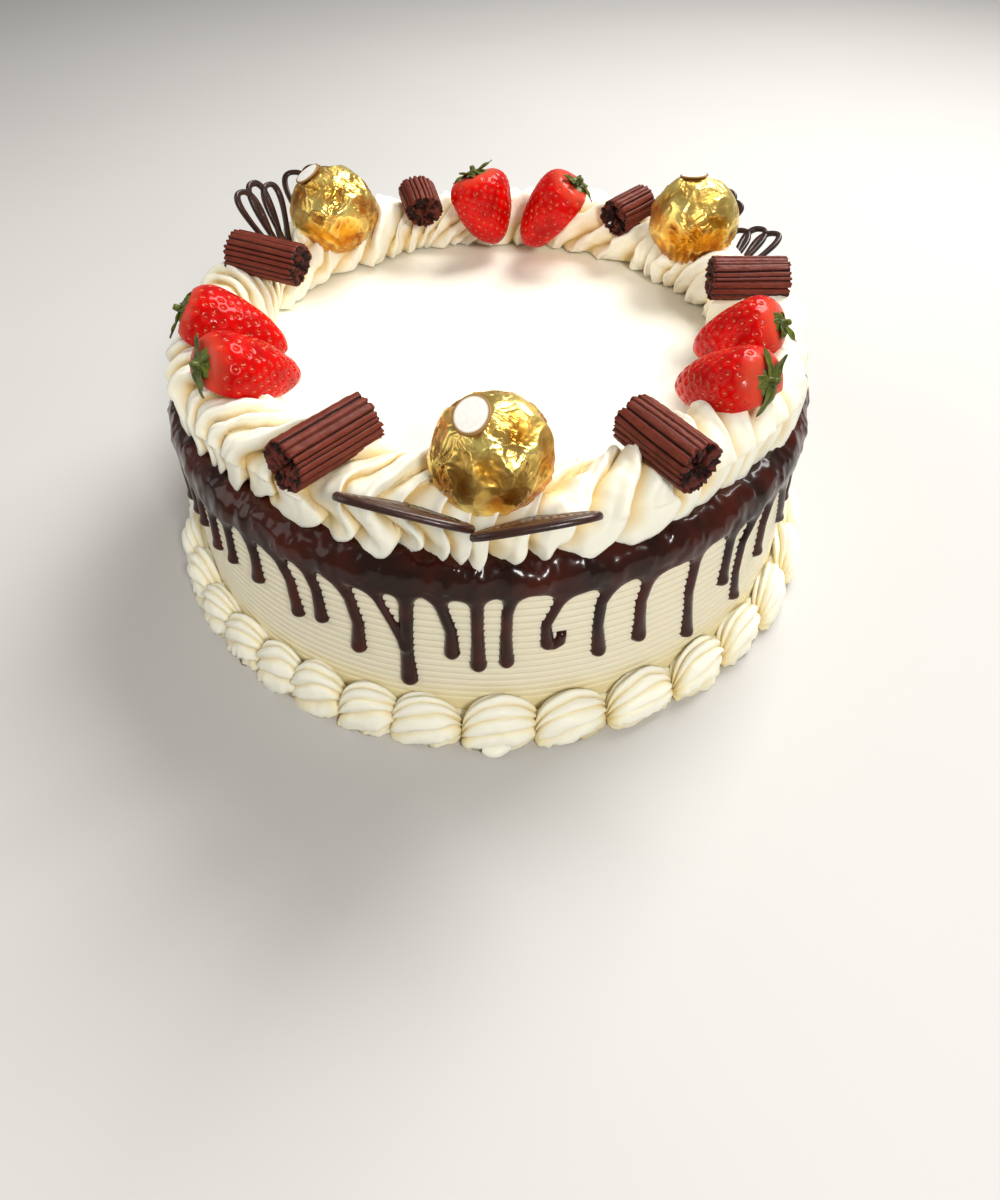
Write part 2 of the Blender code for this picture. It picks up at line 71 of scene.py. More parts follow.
def noise(points, size, seed):
    """Smooth unevenness from -1 to 1.

    Random values stand on a cubic lattice of this size, and a smooth step along each
    axis eases between the eight corners round a point.
    """
    table = np.random.default_rng(seed).uniform(-1, 1, (32, 32, 32))
    place = np.asarray(points) / size
    low = np.floor(place).astype(int)
    part = place - low
    part = part * part * (3 - 2 * part)
    total = 0.0
    for corner in itertools.product((0, 1), repeat=3):
        weight = np.prod(np.where(np.array(corner) == 1, part, 1 - part), axis=-1)
        at = (low + np.array(corner)) % 32
        total = total + weight * table[at[..., 0], at[..., 1], at[..., 2]]
    return total


def hold(value):
    """Values kept between 0 and 1."""
    return np.clip(value, 0, 1)


def bell(value):
    """A bell curve: 1 at zero, and nearly nothing past two."""
    return np.exp(-(value**2))


def ring(columns):
    """One row of angles in even steps once round."""
    return np.linspace(0, math.tau, columns, endpoint=False)[None, :]


def grid(x, y, z):
    """Points from arrays of their coordinates, each spread over the rows and columns."""
    return np.stack(np.broadcast_arrays(x, y, z), -1)


def unit(vectors):
    """The same directions, with length one."""
    return vectors / np.maximum(np.linalg.norm(vectors, axis=-1, keepdims=True), 1e-12)


def sheet(points, tint, ends="capped"):
    """One surface as (points, quads, triangles, tints), from a grid of rows by columns.

    Every row runs round to its start. The first and last rows are capped with triangles
    to their mean points, joined to each other, or left open. The faces are turned outward
    by the sign of the volume that they enclose about the middle of the sheet.
    """
    rows, columns = points.shape[:2]
    i = np.arange(rows if ends == "joined" else rows - 1)[:, None]
    j = np.arange(columns)[None, :]
    below, beside = (i + 1) % rows, (j + 1) % columns
    corners = (i * columns + j, i * columns + beside, below * columns + beside, below * columns + j)
    quads = np.stack(corners, -1).reshape(-1, 4)
    flat = points.reshape(-1, 3)
    tints = np.array(np.broadcast_to(tint, (rows, columns))).reshape(-1)
    triangles = np.zeros((0, 3), int)
    for row in (0, rows - 1) if ends == "capped" else ():
        a = row * columns + j[0]
        b = row * columns + (j[0] + 1) % columns
        middle = np.full(columns, len(flat))
        flat = np.vstack([flat, points[row].mean(0)])
        tints = np.append(tints, tints[a].mean())
        fan = [a, b, middle] if row else [b, a, middle]
        triangles = np.vstack([triangles, np.stack(fan, -1)])
    centred = flat - flat.mean(0)
    a, b, c, d = (centred[quads[:, k]] for k in range(4))
    volume = np.sum(a * np.cross(b, c)) + np.sum(a * np.cross(c, d))
    if volume < 0:
        quads, triangles = quads[:, ::-1], triangles[:, ::-1]
    return flat, quads, triangles, tints


def add_piece(name, sheets, finish):
    """Joins sheets into one smooth mesh object whose place is in its points."""
    faces, start = [], 0
    for flat, quads, triangles, tints in sheets:
        faces += (quads + start).tolist() + (triangles + start).tolist()
        start += len(flat)
    mesh = bpy.data.meshes.new(name)
    mesh.from_pydata(np.vstack([s[0] for s in sheets]).tolist(), [], faces)
    attribute = mesh.attributes.new("tint", "FLOAT", "POINT")
    attribute.data.foreach_set("value", np.hstack([s[3] for s in sheets]).astype(np.float32))
    mesh.materials.append(finish.material)
    mesh.shade_smooth()
    piece = bpy.data.objects.new(name, mesh)
    bpy.context.scene.collection.objects.link(piece)
    return piece


class Finish:
    """One material: its principled shader with plain values, and the nodes wired into it."""

    def __init__(self, name, **values):
        self.material = bpy.data.materials.new(name)
        self.material.use_nodes = True
        self.shader = self.material.node_tree.nodes["Principled BSDF"]
        self.join(**values)
        self.place = self.node("TexCoord", {}).outputs["Object"]

    def fill(self, node, inputs):
        """Gives a node's inputs plain values or wires."""
        for name, value in inputs.items():
            if isinstance(value, bpy.types.NodeSocket):
                self.material.node_tree.links.new(value, node.inputs[name])
            else:
                node.inputs[name].default_value = value

    def join(self, **inputs):
        """Fills the shader's inputs; an underscore in a word stands for a space."""
        self.fill(self.shader, {name.replace("_", " "): value for name, value in inputs.items()})
        return self

    def node(self, kind, inputs, **settings):
        """A new node with its settings and its inputs."""
        node = self.material.node_tree.nodes.new("ShaderNode" + kind)
        for name, value in settings.items():
            setattr(node, name, value)
        self.fill(node, inputs)
        return node

    def speckle(self, scale, detail=3.0, rough=0.55):
        """The factor of a noise texture over the Object coordinates."""
        inputs = {"Vector": self.place, "Scale": scale, "Detail": detail, "Roughness": rough}
        return self.node("TexNoise", inputs).outputs[0]

    def ease(self, value, low, high, to_low=0.0, to_high=1.0):
        """A value stretched so that low to high becomes to_low to to_high, and held there."""
        inputs = {"Value": value, "From Min": low, "From Max": high, "To Min": to_low, "To Max": to_high}
        return self.node("MapRange", inputs).outputs[0]

    def blend(self, share, first, second):
        """Runs from the first colour to the second as the share goes from 0 to 1."""
        return self.node("Mix", {0: share, 6: first, 7: second}, data_type="RGBA").outputs[2]

    def mottle(self, scale, dark, pale, low=0.35, high=0.65, detail=3.0, rough=0.55):
        """Soft patches of two colours; low to high is the band of the noise that blends them."""
        return self.blend(self.ease(self.speckle(scale, detail, rough), low, high), dark, pale)

    def tint(self):
        """The share that a piece's own tint attribute holds at each point."""
        return self.node("Attribute", {}, attribute_name="tint").outputs["Fac"]

    def bump(self, scale, strength, distance, detail=3.0, rough=0.55, below=None):
        """A bump from speckles, laid over another bump where one is given."""
        height = self.speckle(scale, detail, rough)
        inputs = {"Height": height, "Strength": strength, "Distance": distance}
        if below is not None:
            inputs["Normal"] = below
        return self.node("Bump", inputs).outputs[0]


def cream_finish(name, crest, hollow, roughness):
    """Whipped cream: pale crests, butter-coloured hollows that are painted shade, soft inner glow and fine
    pores.
    """
    finish = Finish(
        name, Roughness=roughness, Specular_IOR_Level=0.35, Subsurface_Weight=0.35,
        Subsurface_Radius=(1.0, 0.8, 0.5), Subsurface_Scale=0.0025,
    )
    cloud = finish.ease(finish.speckle(45.0), 0.35, 0.65, 0.96, 1.0)
    # The tint is low in creases and grooves, where the cream takes the butter-yellow hollow colour: painted
    # shade.
    pale = finish.blend(finish.ease(finish.tint(), 0.0, 0.75), hollow, crest)
    shaded = tuple(0.86 * v for v in crest[:3]) + (1.0,)
    pores = finish.bump(900.0, 0.14, 0.0002, detail=4.0)
    smear = finish.bump(160.0, 0.16, 0.0005, below=pores)
    return finish.join(Base_Color=finish.blend(cloud, shaded, pale), Normal=smear)


def shoulder_outline(steps):
    """Radius and height down the coat's shoulder, a quarter of a squarish oval."""
    turn = np.linspace(0, math.pi / 2, steps)
    out = SHOULDER_REACH * np.sin(turn) ** (2 / SHOULDER_POWER)
    up = SHOULDER_DROP * np.cos(turn) ** (2 / SHOULDER_POWER)
    return CAKE_RADIUS - SHOULDER_REACH + out, CAKE_HEIGHT - SHOULDER_DROP + up


def turned(radius, height, bearing):
    """Points of one grid from their radius, height and bearing about the Z axis."""
    return grid(radius * np.cos(bearing), radius * np.sin(bearing), height)


def coat_surface():
    """The coat as one turned surface: level top, oval shoulder, combed side, flat underside.

    On the side the radius drops by a narrow bell curve at every groove, and the height
    that is compared with the grooves wanders slowly round the cake.
    """
    bearing = ring(300)
    bend_radius, bend_height = shoulder_outline(14)
    side_height = np.concatenate([
        np.linspace(CAKE_HEIGHT - SHOULDER_DROP, COMB_TOP, 4)[1:],
        np.arange(COMB_TOP, COMB_BOTTOM, -COMB_PITCH / 10)[1:],
        np.linspace(COMB_BOTTOM, 0.0008, 6),
    ])
    top_radius = np.linspace(0.0008, bend_radius[0], 36)[:-1]
    foot_radius = np.array([CAKE_RADIUS - 0.0008, 0.08, 0.04, 0.001])
    radius = np.concatenate([
        top_radius, bend_radius, np.full(len(side_height), CAKE_RADIUS), foot_radius,
    ])[:, None]
    height = np.concatenate([
        np.full(len(top_radius), CAKE_HEIGHT), bend_height, side_height, np.zeros(len(foot_radius)),
    ])[:, None]
    wander = 0.00016 * np.sin(3 * bearing + 1) + 0.0001 * np.sin(8 * bearing)
    away = (height - COMB_TOP + wander + COMB_PITCH / 2) % COMB_PITCH - COMB_PITCH / 2
    groove = bell(away / GROOVE_HALF_WIDTH)
    combed = hold((COMB_TOP + 0.001 - height) / 0.002) * hold((height - COMB_BOTTOM) / 0.003)
    rows = np.arange(len(radius))[:, None]
    on_top = rows < len(top_radius)
    on_side = (rows >= len(top_radius) + len(bend_radius)) & (rows < len(radius) - len(foot_radius))
    groove = groove * combed * on_side
    place = turned(radius, height, bearing)
    rib = 0.4 - 0.95 * groove + 0.25 * noise(place, 0.012, 3) * on_side
    radius = radius + on_side * COMB_DEPTH * rib
    x, y = place[..., 0], place[..., 1]
    stroke = grid((x + 0.35 * y) / 5, y - 0.35 * x, 0)
    blade = 0.00022 * noise(stroke, 0.007, 4) + 0.00020 * noise(place, 0.045, 5)
    fade = hold(radius / 0.006)
    height = height + on_top * (blade * fade - 0.0002)
    # The tint drops in every groove, so the comb lines take the hollow colour: painted shade.
    tint = np.where(on_side, 1 - 0.62 * groove, 1.0)
    return sheet(turned(radius, height, bearing), tint)


def coat_finish():
    """The coat's cream, with painted light and shade: whitest on the level top where the light falls, more
    beige down the combed side as painted shade, and yellower low on the side as painted shade.
    """
    finish = cream_finish("combed_cream", tone(236, 227, 200), tone(186, 170, 136), 0.45)
    side = finish.shader.inputs["Base Color"].links[0].from_socket
    up = finish.node("SeparateXYZ", {"Vector": finish.place}).outputs["Z"]
    # The level top is painted near-white as painted light; the side keeps the beige cream as painted shade.
    level = finish.ease(up, CAKE_HEIGHT - 0.003, CAKE_HEIGHT - 0.001)
    # Low on the side the cream turns yellow: painted shade near the foot.
    warm = finish.blend(finish.ease(up, 0.008, 0.021), tone(240, 226, 176), side)
    return finish.join(Base_Color=finish.blend(level, warm, tone(253, 249, 232)))


coat = add_piece("cake_coat", [coat_surface()], coat_finish())
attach(coat, "root")
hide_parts("cake")


# The chocolate drip: warm dark chocolate poured round the edge, which set as a rounded
# collar over the shoulder and ran down the side in drips with a bulb at each end.
# It is one skin that stands a little off the coat and dips under the cream at its edges.
DRIP_THICKNESS = 0.0016
DRIP_EDGE = 0.0560
DRIP_RADIUS = 0.00195
DRIP_BULB = 0.0024
DRIP_START = 0.0600
DRIP_WEB = 0.0048
DRIP_BACK_PITCH = 9.4
FRONT_DRIPS = (
    (41.0, (-59.0, -60.0), 1.0), (40.2, (-55.6, -56.9), 0.95), (36.0, (-51.0, -52.6), 1.0),
    (37.4, (-46.0, -47.3), 0.9), (37.8, (-40.6, -39.9, -40.4), 1.05), (32.9, (-34.8, -32.5, -32.2), 1.0),
    (35.1, (-29.2, -27.5, -27.4), 1.0), (27.2, (-24.2, -21.7, -20.9, -21.4), 1.05),
    (33.0, (-18.6, -16.9, -15.1, -13.5), 0.72), (17.6, (-12.4, -12.9, -13.3, -13.4), 1.12),
    (31.8, (-8.6, -7.4, -6.3, -6.3), 0.95), (26.6, (-2.3, -2.4, -2.4), 1.0),
    (28.2, (3.2, 2.0, 1.8, 1.9), 0.92), (34.8, (11.4, 9.4, 7.7, 8.0), 0.86),
    (27.5, (18.4, 16.0, 15.8, 16.3), 0.95), (28.8, (24.2, 22.7, 23.1), 1.0),
    (20.0, (32.3, 31.9, 33.2), 0.92), (34.4, (39.8, 39.9), 0.95), (21.5, (47.0, 43.6, 43.5, 44.9), 0.85),
    (32.8, (51.2, 49.9, 50.4), 0.95), (32.2, (55.2, 58.0, 61.0), 0.9),
)
HOOK_BEARINGS = (8.0, 9.0, 10.0, 10.1)
HOOK_HEIGHTS = (0.0364, 0.0357, 0.0370, 0.0395)


def join_soft(first, second, width):
    """The larger of two depths, rounded where they are nearly equal, as wet edges flow together."""
    near = np.maximum(width - np.abs(first - second), 0) / width
    return np.maximum(first, second) + near * near * width / 4


def all_drips():
    """Lines of (bearings from the front in degrees, heights, girth) for every drip, front ones first."""
    random = np.random.default_rng(31)
    drips = []
    for end, bearings, girth in FRONT_DRIPS:
        heights = np.linspace(DRIP_START, end / 1000 + DRIP_BULB * girth, len(bearings))
        drips.append((np.array(bearings), heights, girth))
    drips.append((np.array(HOOK_BEARINGS), np.array(HOOK_HEIGHTS), 0.8))
    first, last = 61.9, 300.0
    count = round((last - first) / DRIP_BACK_PITCH) - 1
    for place in range(count):
        angle = first + (last - first) * (place + 1 + random.uniform(-0.22, 0.22)) / (count + 1)
        end = random.uniform(0.0215, 0.0400)
        slant = 1.4 * math.sin(5 * place)
        heights = np.linspace(DRIP_START, end + DRIP_BULB, 3)
        drips.append((np.array([angle + slant, angle + 0.3 * slant, angle]), heights, 1.0))
    return drips


def way_round(turn, degrees):
    """Distance round the side from a bearing in degrees, by the shorter way."""
    return ((np.degrees(turn) - degrees + 180) % 360 - 180) * math.radians(1) * CAKE_RADIUS


def depth_inside(turn, level):
    """How far each point is inside the wet edge: the collar, joined softly to every drip.

    A drip is a chain of round-ended strokes whose half width goes from wide at the
    collar to a narrow neck, and to a bulb at the end.
    """
    low_edge = DRIP_EDGE + 0.0007 * np.sin(9 * turn + 1) + 0.0005 * np.sin(23 * turn)
    inside = np.minimum(level - low_edge, 0.006)
    runs = np.full(inside.shape, -1.0)
    for bearings, heights, girth in all_drips():
        span = heights[0] - heights[-1]
        chain = np.full(inside.shape, -1.0)
        for start in range(len(bearings) - 1):
            across = way_round(turn, bearings[start])
            reach = math.radians(bearings[start + 1] - bearings[start]) * CAKE_RADIUS
            drop = heights[start + 1] - heights[start]
            along = hold((across * reach + (level - heights[start]) * drop) / (reach**2 + drop**2))
            away = np.hypot(across - along * reach, level - heights[start] - along * drop)
            done = hold((heights[0] - heights[start] - along * drop) / abs(span))
            neck = 1 - 0.10 * np.sin(math.pi * done)
            bulb = hold((done - 0.6) / 0.4) ** 2
            half = girth * (DRIP_RADIUS * neck + (DRIP_BULB - DRIP_RADIUS) * bulb)
            chain = np.maximum(chain, half - away)
        runs = join_soft(runs, chain, 0.0012 if span > 0 else 0.0003)
    return join_soft(inside, runs, DRIP_WEB)


def drip_surface():
    """The skin over the coat's outline: thickness grows from the wet edge as a quarter circle does.

    Rows follow the unrolled outline, so level is the height on the side and goes on by
    arc length over the shoulder. Where a point is outside the wet edge, it sinks into the
    coat, and faces wholly outside are left out.
    """
    turn = np.linspace(-math.pi, math.pi, 1480, endpoint=False)[None, :]
    bend_radius, bend_height = shoulder_outline(60)
    bend = np.concatenate([[0], np.cumsum(np.hypot(np.diff(bend_radius), np.diff(bend_height)))])
    wall_top = CAKE_HEIGHT - SHOULDER_DROP
    level_top = wall_top + bend[-1]
    level = np.concatenate([
        np.arange(level_top, 0.0570, -0.00070), np.arange(0.0570, 0.0500, -0.00050),
        np.arange(0.0500, 0.0150, -0.00058),
    ])[:, None]
    over = np.clip(level_top - level, 0, bend[-1])
    radius = np.where(level > wall_top, np.interp(over, bend, bend_radius), CAKE_RADIUS)
    height = np.where(level > wall_top, np.interp(over, bend, bend_height), level)
    slope = unit(np.stack([np.gradient(radius[:, 0]), np.gradient(height[:, 0])], -1))
    out, up = -slope[:, 1][:, None], slope[:, 0][:, None]
    inside = np.minimum(depth_inside(turn, level), (level_top - level) * 0.8)
    rolled = hold(inside / 0.0021)
    thick = DRIP_THICKNESS * np.sqrt(1 - (1 - rolled) ** 2)
    place = turned(radius, level, turn)
    on_shoulder = hold((level - 0.0545) / 0.004)
    lumps = 0.40 * noise(place, 0.0055, 6) + 0.22 * noise(place, 0.0024, 7)
    thick = thick * (1 + lumps * on_shoulder + 0.10 * noise(place, 0.006, 8))
    random = np.random.default_rng(12)
    for _ in range(160):
        at, high = random.uniform(-math.pi, math.pi), random.uniform(0.0600, 0.0655)
        size = random.uniform(0.0005, 0.0010)
        away = np.hypot((turn - at) * CAKE_RADIUS, level - high)
        thick = thick + 0.45 * size * bell(away / size)
    for bearings, heights, _ in all_drips():
        if heights[-1] > heights[0]:
            continue
        away = np.hypot(way_round(turn, bearings[-1]), level - heights[-1])
        thick = thick + 0.0006 * bell(away / 0.0017) * (inside > 0)
    lift = np.where(inside > 0, thick, np.maximum(1.5 * inside, -0.0005)) + 0.0001
    skin = turned(radius + out * lift, height + up * lift, turn - math.pi / 2)
    flat, quads, triangles, tints = sheet(skin, hold(lift / 0.002), "open")
    wet = inside.reshape(-1)[quads].max(1) > 0
    quads = quads[wet]
    used = np.unique(quads)
    renumber = np.zeros(len(flat), int)
    renumber[used] = np.arange(len(used))
    return flat[used], renumber[quads], triangles, tints[used]


def drip_finish():
    """Glossy dark chocolate in soft random patches from nearly black to red-brown."""
    finish = Finish(
        "poured_chocolate", Roughness=0.24, Specular_IOR_Level=0.15, Coat_Weight=0.28, Coat_Roughness=0.03,
    )
    colour = finish.mottle(70.0, tone(34, 13, 6), tone(66, 23, 12), 0.38, 0.66, detail=2.0)
    return finish.join(Base_Color=colour, Normal=finish.bump(210.0, 0.22, 0.0006, detail=2.0))


drip = add_piece("poured_drip", [drip_surface()], drip_finish())
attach(drip, "root")
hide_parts("chocolate_drip")


# The top border: one thick rope of whipped cream piped round the rim in leaning coils.
# The star nozzle leaves soft ridges with sharp creases, which lap over one another,
# and the rope's outer foot hangs a little way onto the chocolate.
TOP_RING_RADIUS = 0.0908
TOP_RING_CENTRE = 0.0745
TOP_HALF_WIDTH = 0.0148
TOP_NARROW = 0.0020
TOP_INNER_WIDTH = 0.0122
TOP_INNER_NARROW = 0.0048
TOP_FOOT_REACH = 0.1050
TOP_RISE = 0.0122
TOP_COILS = 16
TOP_RIDGES = 4
TOP_RIDGE_DEPTH = 0.0045
TOP_COIL_STEP = 0.0020
TOP_LEAN = 2.6
TOP_CURL = 1.1
TOP_OVERLAP = 0.0030
TOP_TIP = 0.0030


def slow_wave(bearing, turns, size, phases):
    """A slow wave round the ring: cosines of these numbers of turns, all of one size."""
    return sum(size * np.cos(turn * bearing + phase) for turn, phase in zip(turns, phases))


def beside_front(bearing):
    """A bell curve of the bearing that peaks 42 degrees to either side of the front."""
    from_front = np.abs((np.degrees(bearing) - 90) % 360 - 180)
    return bell((from_front - 42) / 17)


def near_back(bearing):
    """A wide bell curve of the bearing that peaks at the back."""
    from_back = np.abs((np.degrees(bearing) + 90) % 360 - 180)
    return bell(from_back / 45)


def uneven_steps(share, widths):
    """Which step of these widths each share of the whole falls in, and how far through it."""
    edges = np.concatenate([[0], np.cumsum(widths)]) / widths.sum()
    number = np.clip(np.searchsorted(edges, share, side="right") - 1, 0, len(widths) - 1)
    return number, (share - edges[number]) / (edges[number + 1] - edges[number])


def rope_surface():
    """A ring of oval section made of leaning lobes of uneven width.

    Where a point falls within its lobe gives a skewed half sine, and the oval's reach
    grows by it, and by a ramp that drops back once a coil. The crests are also slid round
    the ring, over the crease beside them, so that the lobes lap like folds, and they
    reach further out and down at the rope's outer foot, where each ends in a soft tip.
    The oval reaches less far outward beside the front, and inward at the back, by the
    bell curves above.
    """
    random = np.random.default_rng(7)
    sway = [random.uniform(0, math.tau) for _ in range(4)]
    swell = [random.uniform(0, math.tau) for _ in range(4)]
    lobes = TOP_COILS * TOP_RIDGES
    widths = random.uniform(0.60, 1.45, lobes)
    strengths = random.uniform(0.75, 1.20, lobes)
    laps = random.uniform(0.5, 1.5, lobes)
    tips = random.uniform(0.3, 1.4, lobes)
    bearing = ring(1150)
    visible = np.radians(np.linspace(-70, 224, 77))
    under = np.radians(np.linspace(224, 290, 9))[1:-1]
    angle = np.concatenate([visible, under])[:, None]
    scale = 1 + slow_wave(bearing, (4, 7, 11, 22), 0.03, swell)
    place = grid(12 * np.cos(bearing), 12 * np.sin(bearing), angle)
    lean = TOP_LEAN + 1.1 * noise(place * (1, 1, 0), 5.0, 29)
    curl = TOP_CURL + 0.9 * noise(place * (1, 1, 0), 3.0, 30)
    bend = lean * angle / math.pi + curl * bell((angle + 0.35) / 0.7)
    warp = 0.42 * noise(place, 1.5, 21) + 0.16 * noise(place, 0.55, 22)
    share = (bearing / math.tau - (bend - warp) / lobes) % 1.0
    number, part = uneven_steps(share, widths)
    crest = np.sin(math.pi * hold(part) ** 1.6) ** 0.58
    size = np.sqrt(widths[number]) * strengths[number]
    coil = (number % TOP_RIDGES + part) / TOP_RIDGES
    coil_size = random.uniform(0.4, 1.3, TOP_COILS)[number // TOP_RIDGES]
    step = coil**1.2 * (1 - hold((coil - 0.90) / 0.10) ** 2) * coil_size
    power = 2 + 0.3 * hold(-np.sin(angle)) * (np.cos(angle) > 0)
    narrow = beside_front(bearing)
    outer = TOP_HALF_WIDTH - 0.0006 - TOP_NARROW * narrow
    inner = TOP_INNER_WIDTH - TOP_INNER_NARROW * near_back(bearing)
    half_width = np.where(np.cos(angle) > 0, outer, inner)
    across, rise = np.abs(np.cos(angle)) / half_width, np.abs(np.sin(angle)) / TOP_RISE
    reach = scale / (across**power + rise**power) ** (1 / power)
    reach = reach + TOP_RIDGE_DEPTH * (crest * size - 0.78) + TOP_COIL_STEP * (step - 0.45)
    second = np.abs(np.sin(math.pi * (2 * part + 0.35 * noise(place, 0.9, 27)))) ** 0.7
    reach = reach + 0.0011 * (second - 0.65) * crest
    foot = hold(0.35 - np.sin(angle)) * hold(np.cos(angle))
    reach = reach + TOP_TIP * foot * (crest**1.6 * tips[number] - 0.35)
    reach = reach + 0.00016 * noise(place, 0.11, 25) + 0.0005 * noise(place, 0.4, 26)
    radius = TOP_RING_RADIUS + slow_wave(bearing, (3, 5, 8, 13), 0.0005, sway) + reach * np.cos(angle)
    furthest = TOP_FOOT_REACH - 0.0045 * narrow + 0.0012 * (tips[number] - 0.8)
    furthest = furthest + 0.02 * hold(angle - 0.2)
    radius = np.where(radius > furthest, furthest + 0.3 * (radius - furthest), radius)
    height = TOP_RING_CENTRE + reach * np.sin(angle)
    past = hold((radius - (CAKE_RADIUS - SHOULDER_REACH)) / SHOULDER_REACH)
    fall = SHOULDER_DROP * (1 - (1 - past**SHOULDER_POWER) ** (1 / SHOULDER_POWER))
    height = np.maximum(height, CAKE_HEIGHT - fall + 0.0006)
    rounding = hold(np.sin(angle) + 0.75)
    slide = (TOP_OVERLAP * laps[number] * (crest - 0.45) + 0.0014 * (step - 0.4)) * rounding
    bearing = bearing + slide / TOP_RING_RADIUS
    # The tint is low in the creases between lobes and coils, which take the yellow hollow colour: painted
    # shade.
    tint = hold(1.1 * crest * strengths[number] * (0.8 + 0.2 * second) + 0.1 * step) ** 1.3
    return sheet(turned(radius, height, bearing), tint, "joined")


rope = add_piece(
    "cream_rope",
    [rope_surface()],
    cream_finish("piped_cream", tone(252, 247, 228), tone(230, 198, 118), 0.42),
)
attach(rope, "root")
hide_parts("top_border")


# The base border: fat shells of whipped cream piped round the foot, one after the other.
# Each has a round ridged head, and its thin tail is pulled away under the next one's head.
# An uneven strip of cream shows behind them, and a small curl lies at the front one's foot.
SHELLS = 33
SHELL_START = math.radians(-3.9)
SHELL_FOOT_RADIUS = 0.1160
SHELL_HEIGHT = 0.0172
SHELL_RIDGE_DEPTH = 0.0022
SHELL_RIBS = 9
SHELL_CROWD = 0.30
BED_REACH = 0.0050
BED_RISE = 0.0085
CURL_LENGTH = 0.0085
CURL_RADIUS = 0.0019


def shell_places():
    """Bearing and spacing of each shell: they stand closer together left of the front.

    The count goes round in proportion to a density, which is higher over that stretch.
    """
    bearing = SHELL_START + np.linspace(0, math.tau, 3601)
    from_front = (np.degrees(bearing) - 90) % 360 - 180
    density = 1 + SHELL_CROWD * ((from_front > -66) & (from_front < -11))
    count = np.concatenate([[0], np.cumsum(density[1:])])
    count = count / count[-1] * SHELLS
    marks = np.arange(SHELLS) + 0.5
    ahead, behind = np.interp(marks + 0.5, count, bearing), np.interp(marks - 0.5, count, bearing)
    return np.interp(marks, count, bearing), ahead - behind


def shell_surface(number, middle, spacing, random):
    """One shell: an egg that lies along the foot, from the low pole of its head to its tail.

    Ribs run from pole to pole over the egg. Each rises steeply at its lower edge and slopes
    away upward, so that it laps over the one below. The head is fuller than the tail and
    sits further out, and the ribs flare at its foot. Nothing goes below the floor.
    """
    size = 1 + random.uniform(-0.12, 0.03)
    crowded = spacing < 0.95 * math.tau / SHELLS
    twist, start = -random.uniform(0.1, 0.6) - 0.8 * crowded, random.uniform(0, 1)
    long = spacing * CAKE_RADIUS * random.uniform(0.48, 0.525) * (1.10 if crowded else 1.0)
    slant = random.uniform(0.0004, 0.0018)
    ribs = SHELL_RIBS + int(random.integers(0, 3))
    wall = CAKE_RADIUS + COMB_DEPTH / 2
    along = np.linspace(0, 1, 34)[:, None]
    shown = np.radians(np.linspace(-38, 190, 72))
    hidden = np.radians(np.linspace(190, 322, 10))[1:-1]
    angle = np.concatenate([shown, hidden])[None, :]
    polar = math.pi * along**0.92
    full = np.sin(np.clip(polar, 0.03, math.pi - 0.03)) ** 0.72
    full = full * (1 - 0.25 * hold((along - 0.45) / 0.55) ** 1.3)
    phase = ribs * (angle + twist * (along - 0.3)) / math.tau + start
    phase = phase + 0.22 * noise(grid(6 * along, 3 * angle, 9 * number), 1.7, 43)
    part = phase % 1.0
    lip = hold(part / 0.22) ** 0.7 * (1 - hold((part - 0.22) / 0.78) ** 2.0)
    rib_size = random.uniform(0.65, 1.25, 64)[np.floor(phase).astype(int) % 64]
    foot = bell(along / 0.16) * hold(0.7 - np.sin(angle)) * (np.cos(angle) > 0)
    reach = SHELL_RIDGE_DEPTH * (lip * rib_size - 0.55) * full**0.5 + 0.0010 * foot * (lip + 0.1)
    frill = hold(0.25 - np.sin(angle)) * (np.cos(angle) > 0) * full
    jag = noise(grid(14 * along, 5 * number, 2 * angle), 0.8, 44)
    reach = reach + frill * (0.0016 * (lip * rib_size - 0.3) + 0.0022 * jag)
    out = (SHELL_FOOT_RADIUS - wall - 0.0040) * size * full
    rise = (SHELL_HEIGHT - 0.0050) * size * full
    radius = wall + 0.0034 + slant * (1 - 2 * along) + (out + reach) * np.cos(angle)
    height = 0.0022 + 0.0028 * full + (rise + reach) * np.sin(angle)
    middle = middle + random.uniform(-0.06, 0.06) * spacing
    bearing = middle - long * np.cos(polar) / wall
    bearing = bearing - 0.0010 * (lip - 0.5) * (1 - 2 * along) / wall
    place = turned(radius, height, bearing)
    rough = noise(place, 0.0035, 41) * 0.00030 + noise(place, 0.0012, 42) * 0.00010
    radius, height = radius + rough * np.cos(angle), height + rough * np.sin(angle)
    radius = np.minimum(radius, SHELL_FOOT_RADIUS)
    height = np.maximum(height, 0.0001 + 0.0002 * (1 - full))
    high = hold(height / 0.006)
    # The tint is low in the creases between ribs, near the floor and at each shell's ends, which take the
    # yellow hollow colour: painted shade.
    tint = hold(0.25 + 0.85 * lip) * (0.6 + 0.4 * high) * hold(full + 0.1) ** 1.5
    return sheet(turned(radius, height, bearing), tint)


def shell_bed():
    """The uneven strip of cream behind the shells: a low quarter oval round the foot of the side."""
    bearing = ring(600)
    wall = CAKE_RADIUS + COMB_DEPTH / 2
    turn = np.linspace(0, math.pi / 2, 10)[:, None]
    rough = grid(40 * np.cos(bearing), 40 * np.sin(bearing), 2 * turn)
    lump = 1 + 0.30 * noise(rough, 1.7, 45) + 0.16 * noise(rough, 0.7, 46)
    radius = wall + BED_REACH * lump * np.cos(turn)
    height = 0.0001 + BED_RISE * lump * np.sin(turn)
    inner_radius = np.full((2, 1), wall - 0.0010) + 0 * bearing
    inner_height = np.array([[0.0060], [0.0001]]) + 0 * bearing
    radius = np.concatenate([radius, inner_radius])
    height = np.concatenate([height, inner_height])
    # The strip behind the shells is tinted mostly in the hollow colour, deepest near the floor: painted
    # shade.
    tint = 0.05 + 0.5 * hold(height / 0.010)
    return sheet(turned(radius, height, bearing), tint, "joined")


